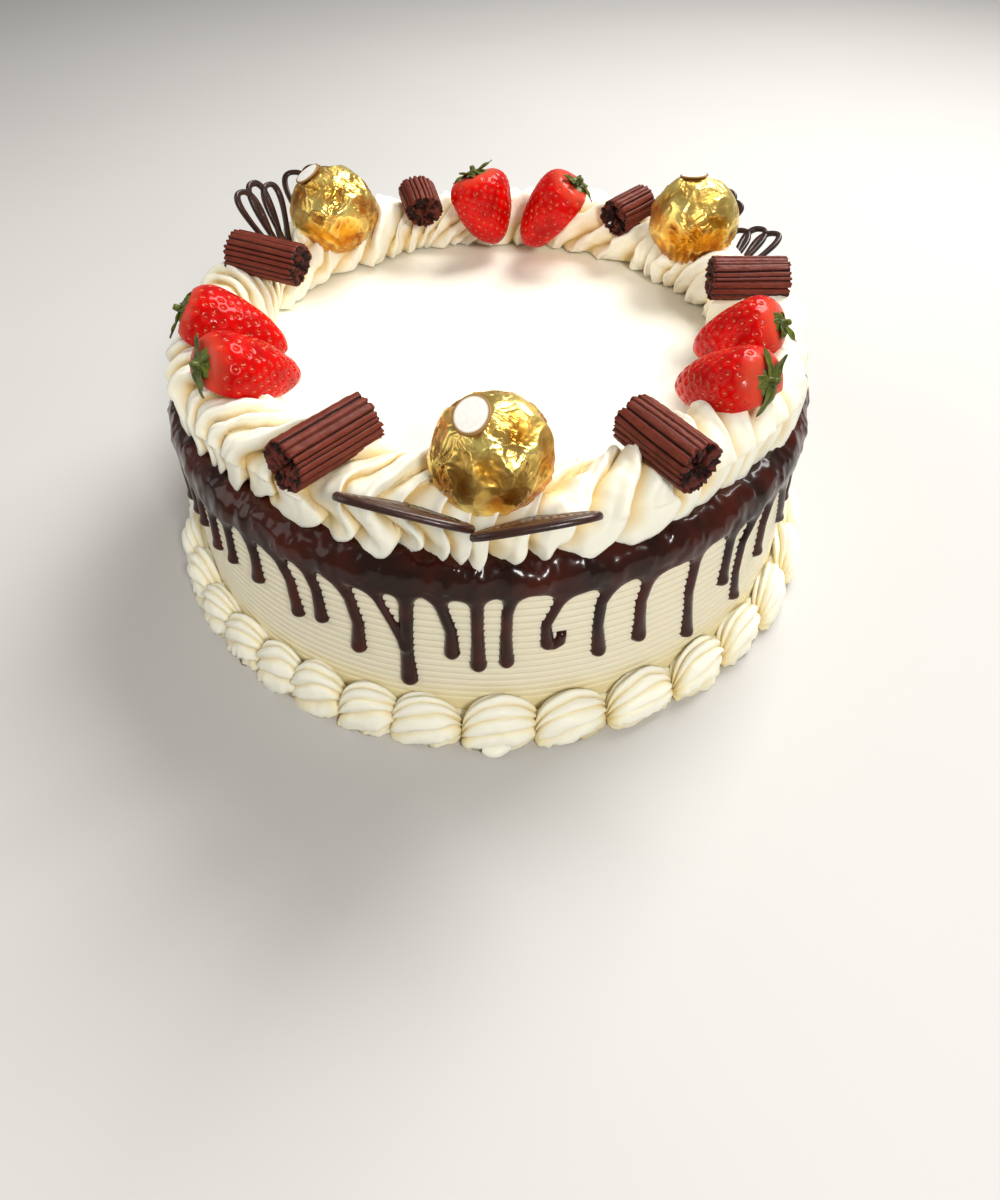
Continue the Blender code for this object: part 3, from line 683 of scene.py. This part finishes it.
def shell_scrap():
    """The small curl of cream at the front shell's foot: a tapering tube along a bent line."""
    along = np.linspace(0, 1, 24)[:, None]
    turn = ring(16)
    girth = CURL_RADIUS * np.sin(math.pi * (0.06 + 0.86 * along)) ** 0.5
    x = -0.0040 + CURL_LENGTH * along
    y = -0.1152 - 0.0016 * np.sin(math.pi * (0.2 + 0.8 * along)) + girth * np.cos(turn)
    z = 0.0019 + 0.0004 * along + girth * np.sin(turn)
    return sheet(grid(x, y, np.maximum(z, 0.0001)), 0.9)


shell_draws = np.random.default_rng(19)
shell_sheets = [
    shell_surface(number, middle, spacing, shell_draws)
    for number, (middle, spacing) in enumerate(zip(*shell_places()))
]
shells = add_piece(
    "cream_shells",
    [*shell_sheets, shell_bed(), shell_scrap()],
    cream_finish("shell_cream", tone(255, 250, 230), tone(236, 212, 142), 0.42),
)
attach(shells, "root")
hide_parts("base_border")


# Three round sweets wrapped in thin gold foil, pressed into the rope of cream.
# The foil is pleated underneath, smoothed by hand over the top, and creased all over
# into small flat facets. A blank oval paper label is stuck on the smooth top.
BALL_RADIUS = 0.0165
BALL_CENTRES = ((0.3, -89.5, 91.0), (-58.9, 64.1, 91.3), (76.1, 49.0, 91.3))
BALL_FLAT = 0.945
FOIL_FACETS = 120
FOIL_PLEATS = 22
LABEL_AXES = ((-0.30, -0.22, 0.93), (-0.47, -0.05, 0.87), (-0.06, 0.25, 0.96))
LABEL_LENGTH = 0.0130
LABEL_WIDTH = 0.0100
LABEL_THICKNESS = 0.0006


def placed(origin, axis, up):
    """The matrix whose Z runs along the axis and whose Y leans toward up."""
    along = Vector(axis).normalized()
    side = Vector(up).cross(along).normalized()
    above = along.cross(side)
    turn = Matrix((side, above, along)).transposed().to_4x4()
    return np.array(Matrix.Translation(Vector(origin)) @ turn)


def move(points, matrix):
    """Points of a grid carried to where the matrix puts them."""
    return points @ matrix[:3, :3].T + matrix[:3, 3]


def foil_surface(number, matrix):
    """A crumpled ball: flat facets between sharp folds, with pleats toward its foot.

    Planes lie a little inside the sphere, and the nearest one along a direction gives the
    reach, so facets meet in hard edges. Folds are one minus the size of a noise, which
    peaks in a sharp line, and the pleats are pointed waves round the lower half.
    """
    random = np.random.default_rng(100 + number)
    polar = np.linspace(0.012, math.pi - 0.012, 170)[:, None]
    turn = ring(290)
    ways = grid(np.sin(polar) * np.cos(turn), np.sin(polar) * np.sin(turn), np.cos(polar))
    drift = np.stack([noise(ways + 9 * k, 0.30, 60 + k) for k in range(3)], -1)
    fine = np.stack([noise(ways + 5 * k, 0.11, 64 + k) for k in range(3)], -1)
    skew = unit(ways + 0.14 * drift + 0.035 * fine)
    planes = unit(random.normal(size=(FOIL_FACETS, 3)))
    cuts = random.uniform(0.912, 0.986, FOIL_FACETS)
    reach = 1.012 / (np.clip(skew @ planes.T, 0.05, 1) / cuts).max(-1)
    reach = np.clip(reach, 0.89, 1.01)
    low = hold((polar - 1.15) / 1.5)
    sizes = ((0.34, 51), (0.15, 52), (0.075, 54))
    fold, small, tiny = (hold(1 - np.abs(noise(skew + number, *size)) * 3.0) for size in sizes)
    worn = np.clip(noise(ways + number, 0.8, 55) + 0.75, 0.45, 1)
    reach = reach + worn * (0.022 * fold + (0.015 + 0.010 * low) * small)
    reach = reach + (0.008 + 0.005 * low) * tiny * worn
    wander = 0.8 * noise(ways, 0.5, 53)
    pleat = np.abs(((FOIL_PLEATS * turn / math.tau + wander + 0.6 * polar) % 1.0) - 0.5) * 2
    reach = reach - 0.012 + 0.055 * low**1.5 * (pleat - 0.6)
    points = ways * (BALL_RADIUS * np.minimum(reach, 1.0))[..., None]
    flat = BALL_FLAT * BALL_RADIUS - 0.0001
    bulge = np.clip(points[..., 2] - flat, 0, None)
    points[..., 2] = np.minimum(points[..., 2], flat) + 0.10 * bulge
    # The tint is high on the crests and low in the folds and down the lower half: painted light on the
    # crests, painted shade and reflection in the folds and below.
    tint = hold(0.50 + 8 * (reach - 0.962) - 0.45 * low)
    return sheet(move(points, matrix), tint)


def foil_finish():
    """Thin gold foil with a satin shine, with painted light and shade: pale gold on the crests, amber in the
    folds and on the lower half.
    """
    finish = Finish("creased_foil", Metallic=0.9, Roughness=0.32, Specular_IOR_Level=0.5)
    warm = finish.mottle(110.0, tone(164, 88, 12), tone(224, 156, 34))
    colour = finish.blend(finish.ease(finish.tint(), 0.15, 0.85), warm, tone(255, 230, 132))
    rub = finish.ease(finish.speckle(90.0), 0.35, 0.65, 0.22, 0.46)
    fine = finish.bump(420.0, 0.30, 0.0005, rough=0.6)
    return finish.join(Base_Color=colour, Normal=fine, Roughness=rub)


def label_surface(matrix):
    """The oval label: rings from the middle of its face over a round rim to its back."""
    turn = ring(72)
    rings = np.array([
        (0.02, 1, 0), (0.25, 1, 0), (0.5, 1, 0), (0.7, 1, 0), (0.80, 1, 0), (0.86, 1, 0.4), (0.90, 1.12, 1),
        (0.95, 1.12, 1), (0.985, 0.95, 1), (1, 0.7, 1), (1, 0.1, 1), (0.97, 0, 1), (0.5, 0, 1), (0.02, 0, 1),
    ])
    share, lift, rim = rings.T[..., None]
    x = LABEL_WIDTH / 2 * share * np.cos(turn)
    y = LABEL_LENGTH / 2 * share * np.sin(turn)
    base = BALL_FLAT * BALL_RADIUS + 0.0002
    z = base + LABEL_THICKNESS * 0.8 * lift + 0.0002 - 9.0 * (x**2 + y**2)
    return sheet(move(grid(x, y, z), matrix), rim)


def label_finish():
    """Matt off-white paper with a brown-gold printed rim."""
    finish = Finish("label_paper", Roughness=0.5, Specular_IOR_Level=0.3)
    paper = finish.mottle(600.0, tone(224, 220, 212), tone(238, 235, 228), 0.3, 0.7, detail=4.0)
    colour = finish.blend(finish.tint(), paper, tone(150, 112, 62))
    return finish.join(Base_Color=colour, Normal=finish.bump(1200.0, 0.2, 0.0002, detail=2.0))


foil = foil_finish()
paper = label_finish()
for number, (centre, axis) in enumerate(zip(BALL_CENTRES, LABEL_AXES)):
    matrix = placed(Vector(centre) / 1000, axis, (0, 1, 0))
    ball = add_piece(f"foil_wrap_{number + 1}", [foil_surface(number, matrix)], foil)
    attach(ball, "root")
    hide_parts(f"foil_ball_{number + 1}")
    label = add_piece(f"oval_label_{number + 1}", [label_surface(matrix)], paper)
    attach(label, "root")
    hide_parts(f"sticker_{number + 1}")


# Six short logs of crumbly milk chocolate: a thin ribbon gathered into a ridged stick,
# broken off short. Their grooves run the whole length, and the broken ends show the
# folded layers with dark gaps between them.
LOG_DIAMETER = 0.0150
LOG_RIBS = 21
LOG_GROOVE_DEPTH = 0.0010
LOG_ENDS = (
    ((-52.3, -92.0, 89.6), (-33.6, -71.0, 89.6)),
    ((38.2, -72.4, 89.5), (52.2, -94.3, 89.2)),
    ((-89.0, 30.0, 91.0), (-65.0, 20.5, 89.5)),
    ((74.0, 4.6, 90.5), (98.5, 3.8, 90.5)),
    ((-28.0, 83.5, 90.5), (-24.5, 70.5, 87.0)),
    ((48.8, 64.5, 86.0), (61.5, 74.5, 88.0)),
)


def log_surface(number, start, stop):
    """A ridged stick: a section of flat ribs and sharp grooves along a straight line, broken off.

    The ribs have uneven widths, and the radius drops sharply between them. Each end goes
    in by rings to its middle. Coarse and fine noise heaves those rings along the axis, and
    a hollow sinks their middle, so that the break is crumbly.
    """
    random = np.random.default_rng(200 + number)
    start, stop = Vector(start) / 1000, Vector(stop) / 1000
    length = (stop - start).length
    side_rows, end_rows = 26, 24
    turn = ring(260)
    inward = np.linspace(0.03, 1.0, end_rows)[:, None]
    share = np.concatenate([inward, np.ones((side_rows - 2, 1)), inward[::-1]])
    along = hold((np.arange(len(share))[:, None] - end_rows + 1) / (side_rows - 1))
    circle = grid(np.cos(turn), np.sin(turn), 0.8 * along)
    drift = 0.010 * noise(circle + number * 3, 0.7, 71)
    widths = random.uniform(0.5, 1.6, LOG_RIBS)
    rib_number, part = uneven_steps((turn / math.tau + drift + 0.13 * number) % 1.0, widths)
    rib = 1 - np.abs(2 * part - 1) ** 4.5
    deep = random.uniform(0.45, 1.25, LOG_RIBS)[rib_number]
    proud = random.uniform(-0.0004, 0.0, LOG_RIBS)[rib_number]
    oval = 1 - 0.04 * np.cos(2 * turn + number) - 0.03 * np.cos(3 * turn + 2 * number)
    edge = LOG_DIAMETER / 2 * oval - LOG_GROOVE_DEPTH * deep * (1 - rib) + proud
    edge = edge + 0.00012 * noise(circle * (1, 1, 4), 0.10, 73) - 0.0001
    chipped = hold(1 - np.minimum(along, 1 - along) * length / 0.0012)
    edge = edge - chipped * 0.0008 * hold(noise(circle * (2, 2, 9), 0.25, 77))
    radius = edge * share
    flat = grid(radius * np.cos(turn), radius * np.sin(turn), number)
    coarse, crumbs = noise(flat, 0.0023, 74), noise(flat, 0.0010, 75)
    rim = hold((1 - share) * 9)
    hollow = 0.0011 * hold(1 - share**2)
    torn = 0.0007 * noise(grid(3 * np.cos(turn), 3 * np.sin(turn), number), 0.35, 76)
    heave = (0.0010 * coarse + 0.0006 * crumbs - hollow) * rim + torn
    at_end = (along == 0) | (along == 1)
    spread = 1 - 2 * along
    lift = np.where(at_end, heave, torn * np.abs(spread) ** 12)
    height = along * length - np.sign(spread) * lift
    points = turned(radius, height, turn)
    # At the broken ends the tint follows the noise that heaves them and is lowest in the hollows: painted
    # shade in the gaps between layers.
    broken = np.clip(0.40 + 0.5 * coarse + 0.5 * crumbs, 0.0, 0.8) * rim + (1 - rim) * rib
    # Along the side the tint is low in the grooves, which take the near-black colour: painted shade.
    tint = np.where(at_end, broken, hold(rib * 1.15) * (0.75 + 0.25 * deep))
    matrix = placed(start, stop - start, (0, 0, 1))
    return sheet(move(points, matrix), tint)


def log_finish():
    """Dull milk chocolate: paler ribs, with grooves and the gaps of the broken ends painted deep brown as
    shade, and dusty crumbs.
    """
    finish = Finish("ridged_chocolate", Roughness=0.48, Specular_IOR_Level=0.20)
    rib = finish.mottle(260.0, tone(96, 36, 22), tone(120, 52, 36), 0.3, 0.7, detail=4.0, rough=0.65)
    colour = finish.blend(finish.ease(finish.tint(), 0.35, 0.95), tone(34, 9, 5), rib)
    crumb = finish.bump(900.0, 0.30, 0.0004, detail=5.0, rough=0.7)
    streak = finish.bump(300.0, 0.20, 0.0005, below=crumb)
    rub = finish.ease(finish.speckle(500.0), 0.3, 0.7, 0.38, 0.6)
    return finish.join(Base_Color=colour, Normal=streak, Roughness=rub)


ridged = log_finish()
for number, (start, stop) in enumerate(LOG_ENDS):
    log = add_piece(f"ridged_log_{number + 1}", [log_surface(number, start, stop)], ridged)
    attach(log, "root")
    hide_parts(f"chocolate_log_{number + 1}")


# Six fresh strawberries laid on the cream with their stems outward, each trimmed flat
# below. The skin is glossy and dimpled, with a small pale seed in every dimple.
BERRIES = (
    ((-94.6, -18.3, 94.0), (-65.0, -16.0, 78.0), 24.5),
    ((-81.3, -51.2, 94.5), (-58.5, -33.0, 79.0), 24.5),
    ((-5.0, 79.5, 98.5), (3.6, 73.5, 72.0), 27.0),
    ((34.5, 70.0, 97.5), (14.8, 73.5, 72.0), 27.5),
    ((88.0, -30.8, 93.3), (65.5, -20.0, 78.0), 24.5),
    ((76.3, -62.9, 94.0), (56.5, -41.6, 79.0), 24.5),
)
SEED_COUNT = 170
SEED_LENGTH = 0.00100
SEED_WIDTH = 0.00052
SEED_THICKNESS = 0.00060
SEED_SINK = 0.00028
DIMPLE_RADIUS = 0.00085
DIMPLE_DEPTH = 0.00050
BERRY_CUT = 0.20
GOLDEN_TURN = math.pi * (3 - math.sqrt(5))


def berry_outline(part, width):
    """Radius along a strawberry from tip to stem: blunt tip, widest two thirds up, round shoulder."""
    taper = (1 - (1 - hold(part)) ** 2.5) ** 0.65
    past = hold((part - 0.66) / 0.34)
    return width / 2 * taper * (1 - 0.72 * past**3) ** 0.5


def berry_points(part, turn, length, width):
    """Places on the berry's skin: its turned outline, flattened a little and cut flat below."""
    radius = berry_outline(part, width) * (1 - hold((part - 0.985) / 0.015))
    y = np.maximum(0.88 * radius * np.sin(turn), -BERRY_CUT * width)
    return grid(radius * np.cos(turn), y, part * length)


def berry_surfaces(number, stem, tip, width):
    """The skin with a bell-shaped dimple round each seed place, and the small seeds themselves.

    Seed places wind up the berry by the golden angle, at steps of equal skin area.
    """
    random = np.random.default_rng(260 + number)
    start, stop = Vector(tip) / 1000, Vector(stem) / 1000
    length, width = (stop - start).length, width / 1000
    matrix = placed(start, stop - start, (0, 0, 1))
    part = np.concatenate([[0.0008, 0.003, 0.007], np.linspace(0.012, 0.97, 88), [0.98, 0.99, 0.997, 1.0]])
    part = part[:, None]
    skin = berry_points(part, ring(132), length, width)
    sample = np.linspace(0.02, 0.94, 400)
    area = np.cumsum(berry_outline(sample, width))
    order = (np.arange(SEED_COUNT) + 0.5) / SEED_COUNT
    seed_part = np.interp(order, area / area[-1], sample)
    seed_turn = (np.arange(SEED_COUNT) * GOLDEN_TURN + random.uniform(-0.08, 0.08, SEED_COUNT)) % math.tau
    seeds = berry_points(seed_part, seed_turn, length, width)
    keep = seeds[:, 1] > (0.01 - BERRY_CUT) * width
    seeds, seed_part, seed_turn = seeds[keep], seed_part[keep], seed_turn[keep]
    ahead = unit(berry_points(seed_part + 0.01, seed_turn, length, width) - seeds)
    aside = berry_points(seed_part, seed_turn + 0.02, length, width) - seeds
    outward = unit(np.cross(aside, ahead))
    flat = skin.reshape(-1, 3)
    away = np.linalg.norm(flat[:, None, :] - seeds[None], axis=-1).min(1).reshape(skin.shape[:2])
    side = np.roll(skin, -1, axis=1) - np.roll(skin, 1, axis=1)
    normal = unit(np.cross(side, np.gradient(skin, axis=0)))
    cut = skin[..., 1] <= (0.0001 - BERRY_CUT) * width
    dimple = bell(away / DIMPLE_RADIUS) * ~cut
    puff = 0.00035 * noise(skin + number, 0.007, 81)
    rim = 0.00010 * bell((away - 0.0014) / 0.0005) * ~cut
    lift = -DIMPLE_DEPTH * dimple + rim + puff - 0.0001
    skin = skin + normal * lift[..., None]
    flesh = np.where(cut, 1.0, 0.12 * dimple + 0.35 * hold((part - 0.88) / 0.12))
    polar = np.linspace(0.15, math.pi - 0.15, 5)[:, None]
    girth = np.sin(polar) * (0.8 + 0.25 * np.cos(polar)) / 2
    wide, thick = SEED_WIDTH * girth * np.cos(ring(7)), SEED_THICKNESS * girth * np.sin(ring(7))
    grain = grid(SEED_LENGTH / 2 * np.cos(polar), wide, thick)
    grains = []
    for seed, run, out in zip(seeds, ahead, outward):
        across = np.cross(out, run)
        body = seed - out * SEED_SINK + grain @ np.array([run, across, out])
        grains.append(sheet(move(body, matrix), random.uniform(0, 1)))
    return [sheet(move(skin, matrix), flesh)], grains


def berry_finish():
    """Wet ripe skin: bright red with a clear gloss, paler in the dimples and at the stem."""
    finish = Finish(
        "ripe_skin", Roughness=0.26, Specular_IOR_Level=0.09, Coat_Weight=0.16, Coat_Roughness=0.04,
        Subsurface_Weight=0.05, Subsurface_Radius=(1.0, 0.12, 0.06), Subsurface_Scale=0.0016,
    )
    ripe = finish.mottle(110.0, tone(172, 0, 0), tone(214, 4, 2))
    colour = finish.blend(finish.tint(), ripe, tone(236, 120, 84))
    return finish.join(Base_Color=colour, Normal=finish.bump(700.0, 0.12, 0.0004, detail=2.0))


def seed_finish():
    """Dry straw-coloured seeds, some of them redder."""
    finish = Finish("berry_seed", Roughness=0.35, Specular_IOR_Level=0.5)
    colour = finish.blend(finish.tint(), tone(206, 58, 32), tone(236, 140, 92))
    return finish.join(Base_Color=colour, Normal=finish.bump(2500.0, 0.3, 0.0001, detail=2.0))


ripe_skin = berry_finish()
seed_skin = seed_finish()
for number, (stem, tip, width) in enumerate(BERRIES):
    skins, grains = berry_surfaces(number, stem, tip, width)
    berry = add_piece(f"fresh_berry_{number + 1}", skins, ripe_skin)
    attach(berry, "root")
    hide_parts(f"strawberry_{number + 1}")
    pips = add_piece(f"berry_seeds_{number + 1}", grains, seed_skin)
    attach(pips, "root")


# The green leaves on each strawberry's shoulder: a star of thin pointed leaves and a stub
# of stem. They are still fresh, folded along the middle, and curl up or back at the tips.
LEAF_REACH = 0.0096
LEAF_COUNT = 9
LEAF_WIDTHS = (0.0026, 0.0038)
LEAF_THICKNESS = 0.0005
STALK_LENGTH = 0.0026
STALK_RADIUS = 0.0010
STALK_FLARE = 0.0007


def leaf_surface(turn, reach, curl, width, matrix):
    """One leaf: a flat oval section that widens and then narrows to a point along an arc.

    The middle line rises with the square of the distance from the stem, the two halves
    fold up from it, and the edge ripples a little.
    """
    along = np.linspace(0.0, 1.0, 16)[:, None]
    around = ring(14)
    half = width / 2 * np.sin(math.pi * np.minimum(along, 0.995) ** 0.75) ** 0.8 + 0.00018 * (1 - along)
    across = half * np.cos(around)
    thick = LEAF_THICKNESS / 2 * (1 - 0.6 * along) * np.sin(around)
    out = reach * (0.06 + 0.94 * along)
    ripple = 0.0003 * np.sin(9 * along + turn * 3) * np.cos(around)
    lift = curl * along**2 * reach - 0.0008 * along + 0.45 * np.abs(across) + ripple + thick
    x = out * math.cos(turn) - across * math.sin(turn)
    y = out * math.sin(turn) + across * math.cos(turn)
    tint = hold(1 - np.abs(np.cos(around)) * 0.9) * (1 - 0.5 * along)
    return sheet(move(grid(x, y, lift), matrix), tint)


def leaf_finish():
    """Fresh leaf green with a paler middle line and a soft shine."""
    finish = Finish(
        "berry_leaf", Roughness=0.42, Specular_IOR_Level=0.4, Subsurface_Weight=0.1, Subsurface_Scale=0.0006,
    )
    green = finish.mottle(350.0, tone(54, 64, 10), tone(98, 106, 28))
    colour = finish.blend(finish.ease(finish.tint(), 0.55, 1.0), green, tone(134, 142, 50))
    return finish.join(Base_Color=colour, Normal=finish.bump(800.0, 0.4, 0.0003))


green = leaf_finish()
for number, (stem, tip, _) in enumerate(BERRIES):
    random = np.random.default_rng(300 + number)
    axis = (Vector(stem) - Vector(tip)).normalized()
    matrix = placed(Vector(stem) / 1000 + axis * 0.0004, axis, (0, 0, 1))
    leaves = []
    for leaf in range(LEAF_COUNT):
        turn = math.tau * (leaf + random.uniform(-0.2, 0.2)) / LEAF_COUNT
        reach = LEAF_REACH * random.uniform(0.72, 1.08)
        curl = random.uniform(-0.80, 0.35)
        leaves.append(leaf_surface(turn, reach, curl, random.uniform(*LEAF_WIDTHS), matrix))
    rise = np.linspace(0, 1, 8)[:, None]
    stub = (STALK_RADIUS + STALK_FLARE * (1 - rise) ** 3) * (1 - 0.3 * (rise > 0.95))
    stalk = turned(stub, STALK_LENGTH * rise, ring(14))
    leaves.append(sheet(move(stalk, matrix), 0.4))
    crown = add_piece(f"berry_leaves_{number + 1}", leaves, green)
    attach(crown, "root")
    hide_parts(f"calyx_{number + 1}")


# Six chocolate fans: dark chocolate piped flat on paper as long loops side by side,
# set hard, peeled off and pushed upright into the cream. Their feet run together, and
# the two at the front were piped so close, loop inside loop, that they are solid.
FAN_LENGTH = 0.0310
FAN_LOOPS = 3
FAN_ROOT_LEAN = 0.34
FAN_LINE_RADIUS = 0.0011
FILLED_FANS = 2
FILLED_NESTING = (1.0, 0.87, 0.74, 0.61, 0.48, 0.35, 0.22, 0.09)
FANS = (
    ((-21.4, -93.8, 77.7), (0.05, -0.79, 0.61), (0.96, -0.12, -0.23), 33.0),
    ((10.2, -100.2, 78.2), (-0.01, -0.78, 0.62), (0.99, 0.09, 0.13), 30.0),
    ((-74.4, 43.7, 79.3), (-0.35, 0.34, 0.88), (0.43, 0.89, -0.17), 24.0),
    ((-68.8, 72.7, 76.0), (-0.05, 0.74, 0.67), (1.00, 0.05, 0.02), 24.0),
    ((86.9, 32.9, 75.0), (0.56, 0.76, 0.33), (0.75, -0.63, 0.18), 20.0),
    ((72.9, 63.7, 75.0), (0.76, 0.31, 0.57), (0.48, -0.86, -0.16), 20.0),
)


def loop_surface(middle, width, lobe, nesting, matrix, random):
    """One piped loop: a soft flat-backed tube carried round a tall round-topped loop.

    The loop goes up as a power of one minus a cosine does, and its half width is a power
    of a sine that is held narrow near the foot, about a middle line that leans out.
    An inner loop is narrower and ends lower by the width of the lines outside it.
    """
    top = FAN_LENGTH * (1 - 0.13 * (2 * middle / width) ** 2)
    top = top - (1 - nesting) * (lobe / 2 - FAN_LINE_RADIUS)
    turn = ring(110).T
    around = ring(16)
    thick = FAN_LINE_RADIUS * (1 + 0.08 * np.sin(3 * turn + random.uniform(0, 6)))
    up = FAN_LINE_RADIUS + (top - 2 * FAN_LINE_RADIUS) * ((1 - np.cos(turn)) / 2) ** 0.52
    share = up / top
    centre = middle * (FAN_ROOT_LEAN + (1 - FAN_ROOT_LEAN) * share)
    half = (lobe / 2 - (0.8 if lobe == width else -0.4) * FAN_LINE_RADIUS) * nesting
    half = 1.22 * half * np.sign(np.sin(turn)) * np.abs(np.sin(turn)) ** 0.8 * share**0.6
    path = np.concatenate([centre + half, 0 * up, up], 1)
    ahead = unit(np.roll(path, -1, 0) - np.roll(path, 1, 0))
    side = np.stack([-ahead[:, 2], ahead[:, 1], ahead[:, 0]], -1)
    face = np.array([0.0, 1.0, 0.0])
    wide, deep = thick * np.cos(around), thick * 1.05 * np.sin(around)
    deep = np.maximum(deep, -0.75 * FAN_LINE_RADIUS)
    points = path[:, None, :] + side[:, None, :] * wide[..., None] + face * deep[..., None]
    return sheet(move(points, matrix), hold(np.sin(around)), "joined")


def fan_finish(name, deep, pale, crest):
    """Dark chocolate set hard: a satin skin with a painted highlight, paler brown, along the top of each
    line.
    """
    finish = Finish(
        name, Roughness=0.32, Specular_IOR_Level=0.35, Coat_Weight=0.15, Coat_Roughness=0.12,
    )
    dark = finish.mottle(200.0, deep, pale)
    # The tint is highest on the face side of each line, which turns toward the crest colour: a painted
    # highlight.
    colour = finish.blend(finish.ease(finish.tint(), 0.6, 1.0, 0.0, 0.5), dark, crest)
    return finish.join(Base_Color=colour, Normal=finish.bump(500.0, 0.25, 0.0004))


# The close-piped copy is paler: painted light on the two lit front fans; the open-piped fans keep the darker
# tones.
open_piped = fan_finish("piped_chocolate", tone(36, 17, 12), tone(54, 28, 20), tone(76, 46, 36))
painted_lit_close_piped = fan_finish("close_piped_chocolate", tone(44, 22, 15), tone(64, 35, 25), tone(90, 56, 43))
for number, (base, axis, across, width) in enumerate(FANS):
    random = np.random.default_rng(400 + number)
    along = Vector(axis).normalized()
    side = Vector(across)
    side = (side - side.dot(along) * along).normalized()
    matrix = placed(Vector(base) / 1000, along, along.cross(side))
    width = width / 1000
    filled = number < FILLED_FANS
    lobe = width if filled else width / FAN_LOOPS
    nestings = FILLED_NESTING if filled else (1.0,) * FAN_LOOPS
    middles = [0.0 if filled else -width / 2 + (loop + 0.5) * lobe for loop in range(len(nestings))]
    loops = [
        loop_surface(middle, width, lobe, nesting, matrix, random)
        for middle, nesting in zip(middles, nestings)
    ]
    fan = add_piece(f"piped_fan_{number + 1}", loops, painted_lit_close_piped if filled else open_piped)
    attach(fan, "root")
    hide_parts(f"chocolate_fan_{number + 1}")


# The room: a plain pale floor under the cake, soft studio light, and the camera.
# A large soft lamp stands behind on the right, a small one in front and a weak one on
# the left. The camera looks down from the front at the angle of the photograph.
FLOOR_HALF_SIZE = 6
LAMPS = (
    ("key_lamp", (0.40, 0.42, 0.80), (0, 0, 0.05), 0.50, 12.0, (1.0, 0.985, 0.96)),
    ("front_lamp", (0.25, -0.70, 0.60), (0, 0, 0.04), 0.16, 4.2, (1.0, 0.99, 0.97)),
    ("left_lamp", (-0.70, -0.10, 0.45), (0, 0, 0.05), 0.50, 1.3, (1.0, 0.98, 0.95)),
)
AIR_COLOUR = (1.0, 0.985, 0.965, 1.0)
AIR_STRENGTH = 0.26
CAMERA_PLACE = (0.00009, -0.2670, 0.22909)
CAMERA_PITCH = 40.52
CAMERA_YAW = 0.68
CAMERA_ROLL = -0.44
CAMERA_LENS = 26.773
CAMERA_SHIFT = -0.0870

floor_mesh = bpy.data.meshes.new("plain_floor")
corners = [(x * FLOOR_HALF_SIZE, y * FLOOR_HALF_SIZE, 0) for x, y in ((-1, -1), (1, -1), (1, 1), (-1, 1))]
floor_mesh.from_pydata(corners, [], [(0, 1, 2, 3)])
floor = bpy.data.objects.new("plain_floor", floor_mesh)
bpy.context.scene.collection.objects.link(floor)
floor_finish = Finish("floor_paint", Roughness=0.7)
floor_finish.join(Base_Color=floor_finish.mottle(3.0, tone(196, 194, 191), tone(201, 199, 196), 0.3, 0.7))
floor_mesh.materials.append(floor_finish.material)

for name, place, target, size, power, colour in LAMPS:
    lamp = bpy.data.lights.new(name, "AREA")
    lamp.size = size
    lamp.energy = power
    lamp.color = colour
    made = bpy.data.objects.new(name, lamp)
    way = Vector(target) - Vector(place)
    made.matrix_world = Matrix.Translation(place) @ way.to_track_quat("-Z", "Y").to_matrix().to_4x4()
    bpy.context.scene.collection.objects.link(made)

world = bpy.data.worlds.new("studio_air")
world.use_nodes = True
world.node_tree.nodes["Background"].inputs["Color"].default_value = AIR_COLOUR
world.node_tree.nodes["Background"].inputs["Strength"].default_value = AIR_STRENGTH
bpy.context.scene.world = world
bpy.context.scene.view_settings.view_transform = "Standard"

yaw, pitch, roll = (math.radians(v) for v in (CAMERA_YAW, CAMERA_PITCH, CAMERA_ROLL))
ahead = Vector((math.sin(yaw) * math.cos(pitch), math.cos(yaw) * math.cos(pitch), -math.sin(pitch)))
level_right = Vector((math.cos(yaw), -math.sin(yaw), 0))
level_up = level_right.cross(ahead)
right = level_right * math.cos(roll) + level_up * math.sin(roll)
above = level_up * math.cos(roll) - level_right * math.sin(roll)
camera = bpy.data.cameras.new("view")
camera.lens = CAMERA_LENS
camera.sensor_width = 36.0
camera.shift_y = CAMERA_SHIFT
camera.clip_start = 0.005
view = bpy.data.objects.new("view", camera)
facing = Matrix((right, above, -ahead)).transposed().to_4x4()
view.matrix_world = Matrix.Translation(CAMERA_PLACE) @ facing
bpy.context.scene.collection.objects.link(view)
bpy.context.scene.camera = view
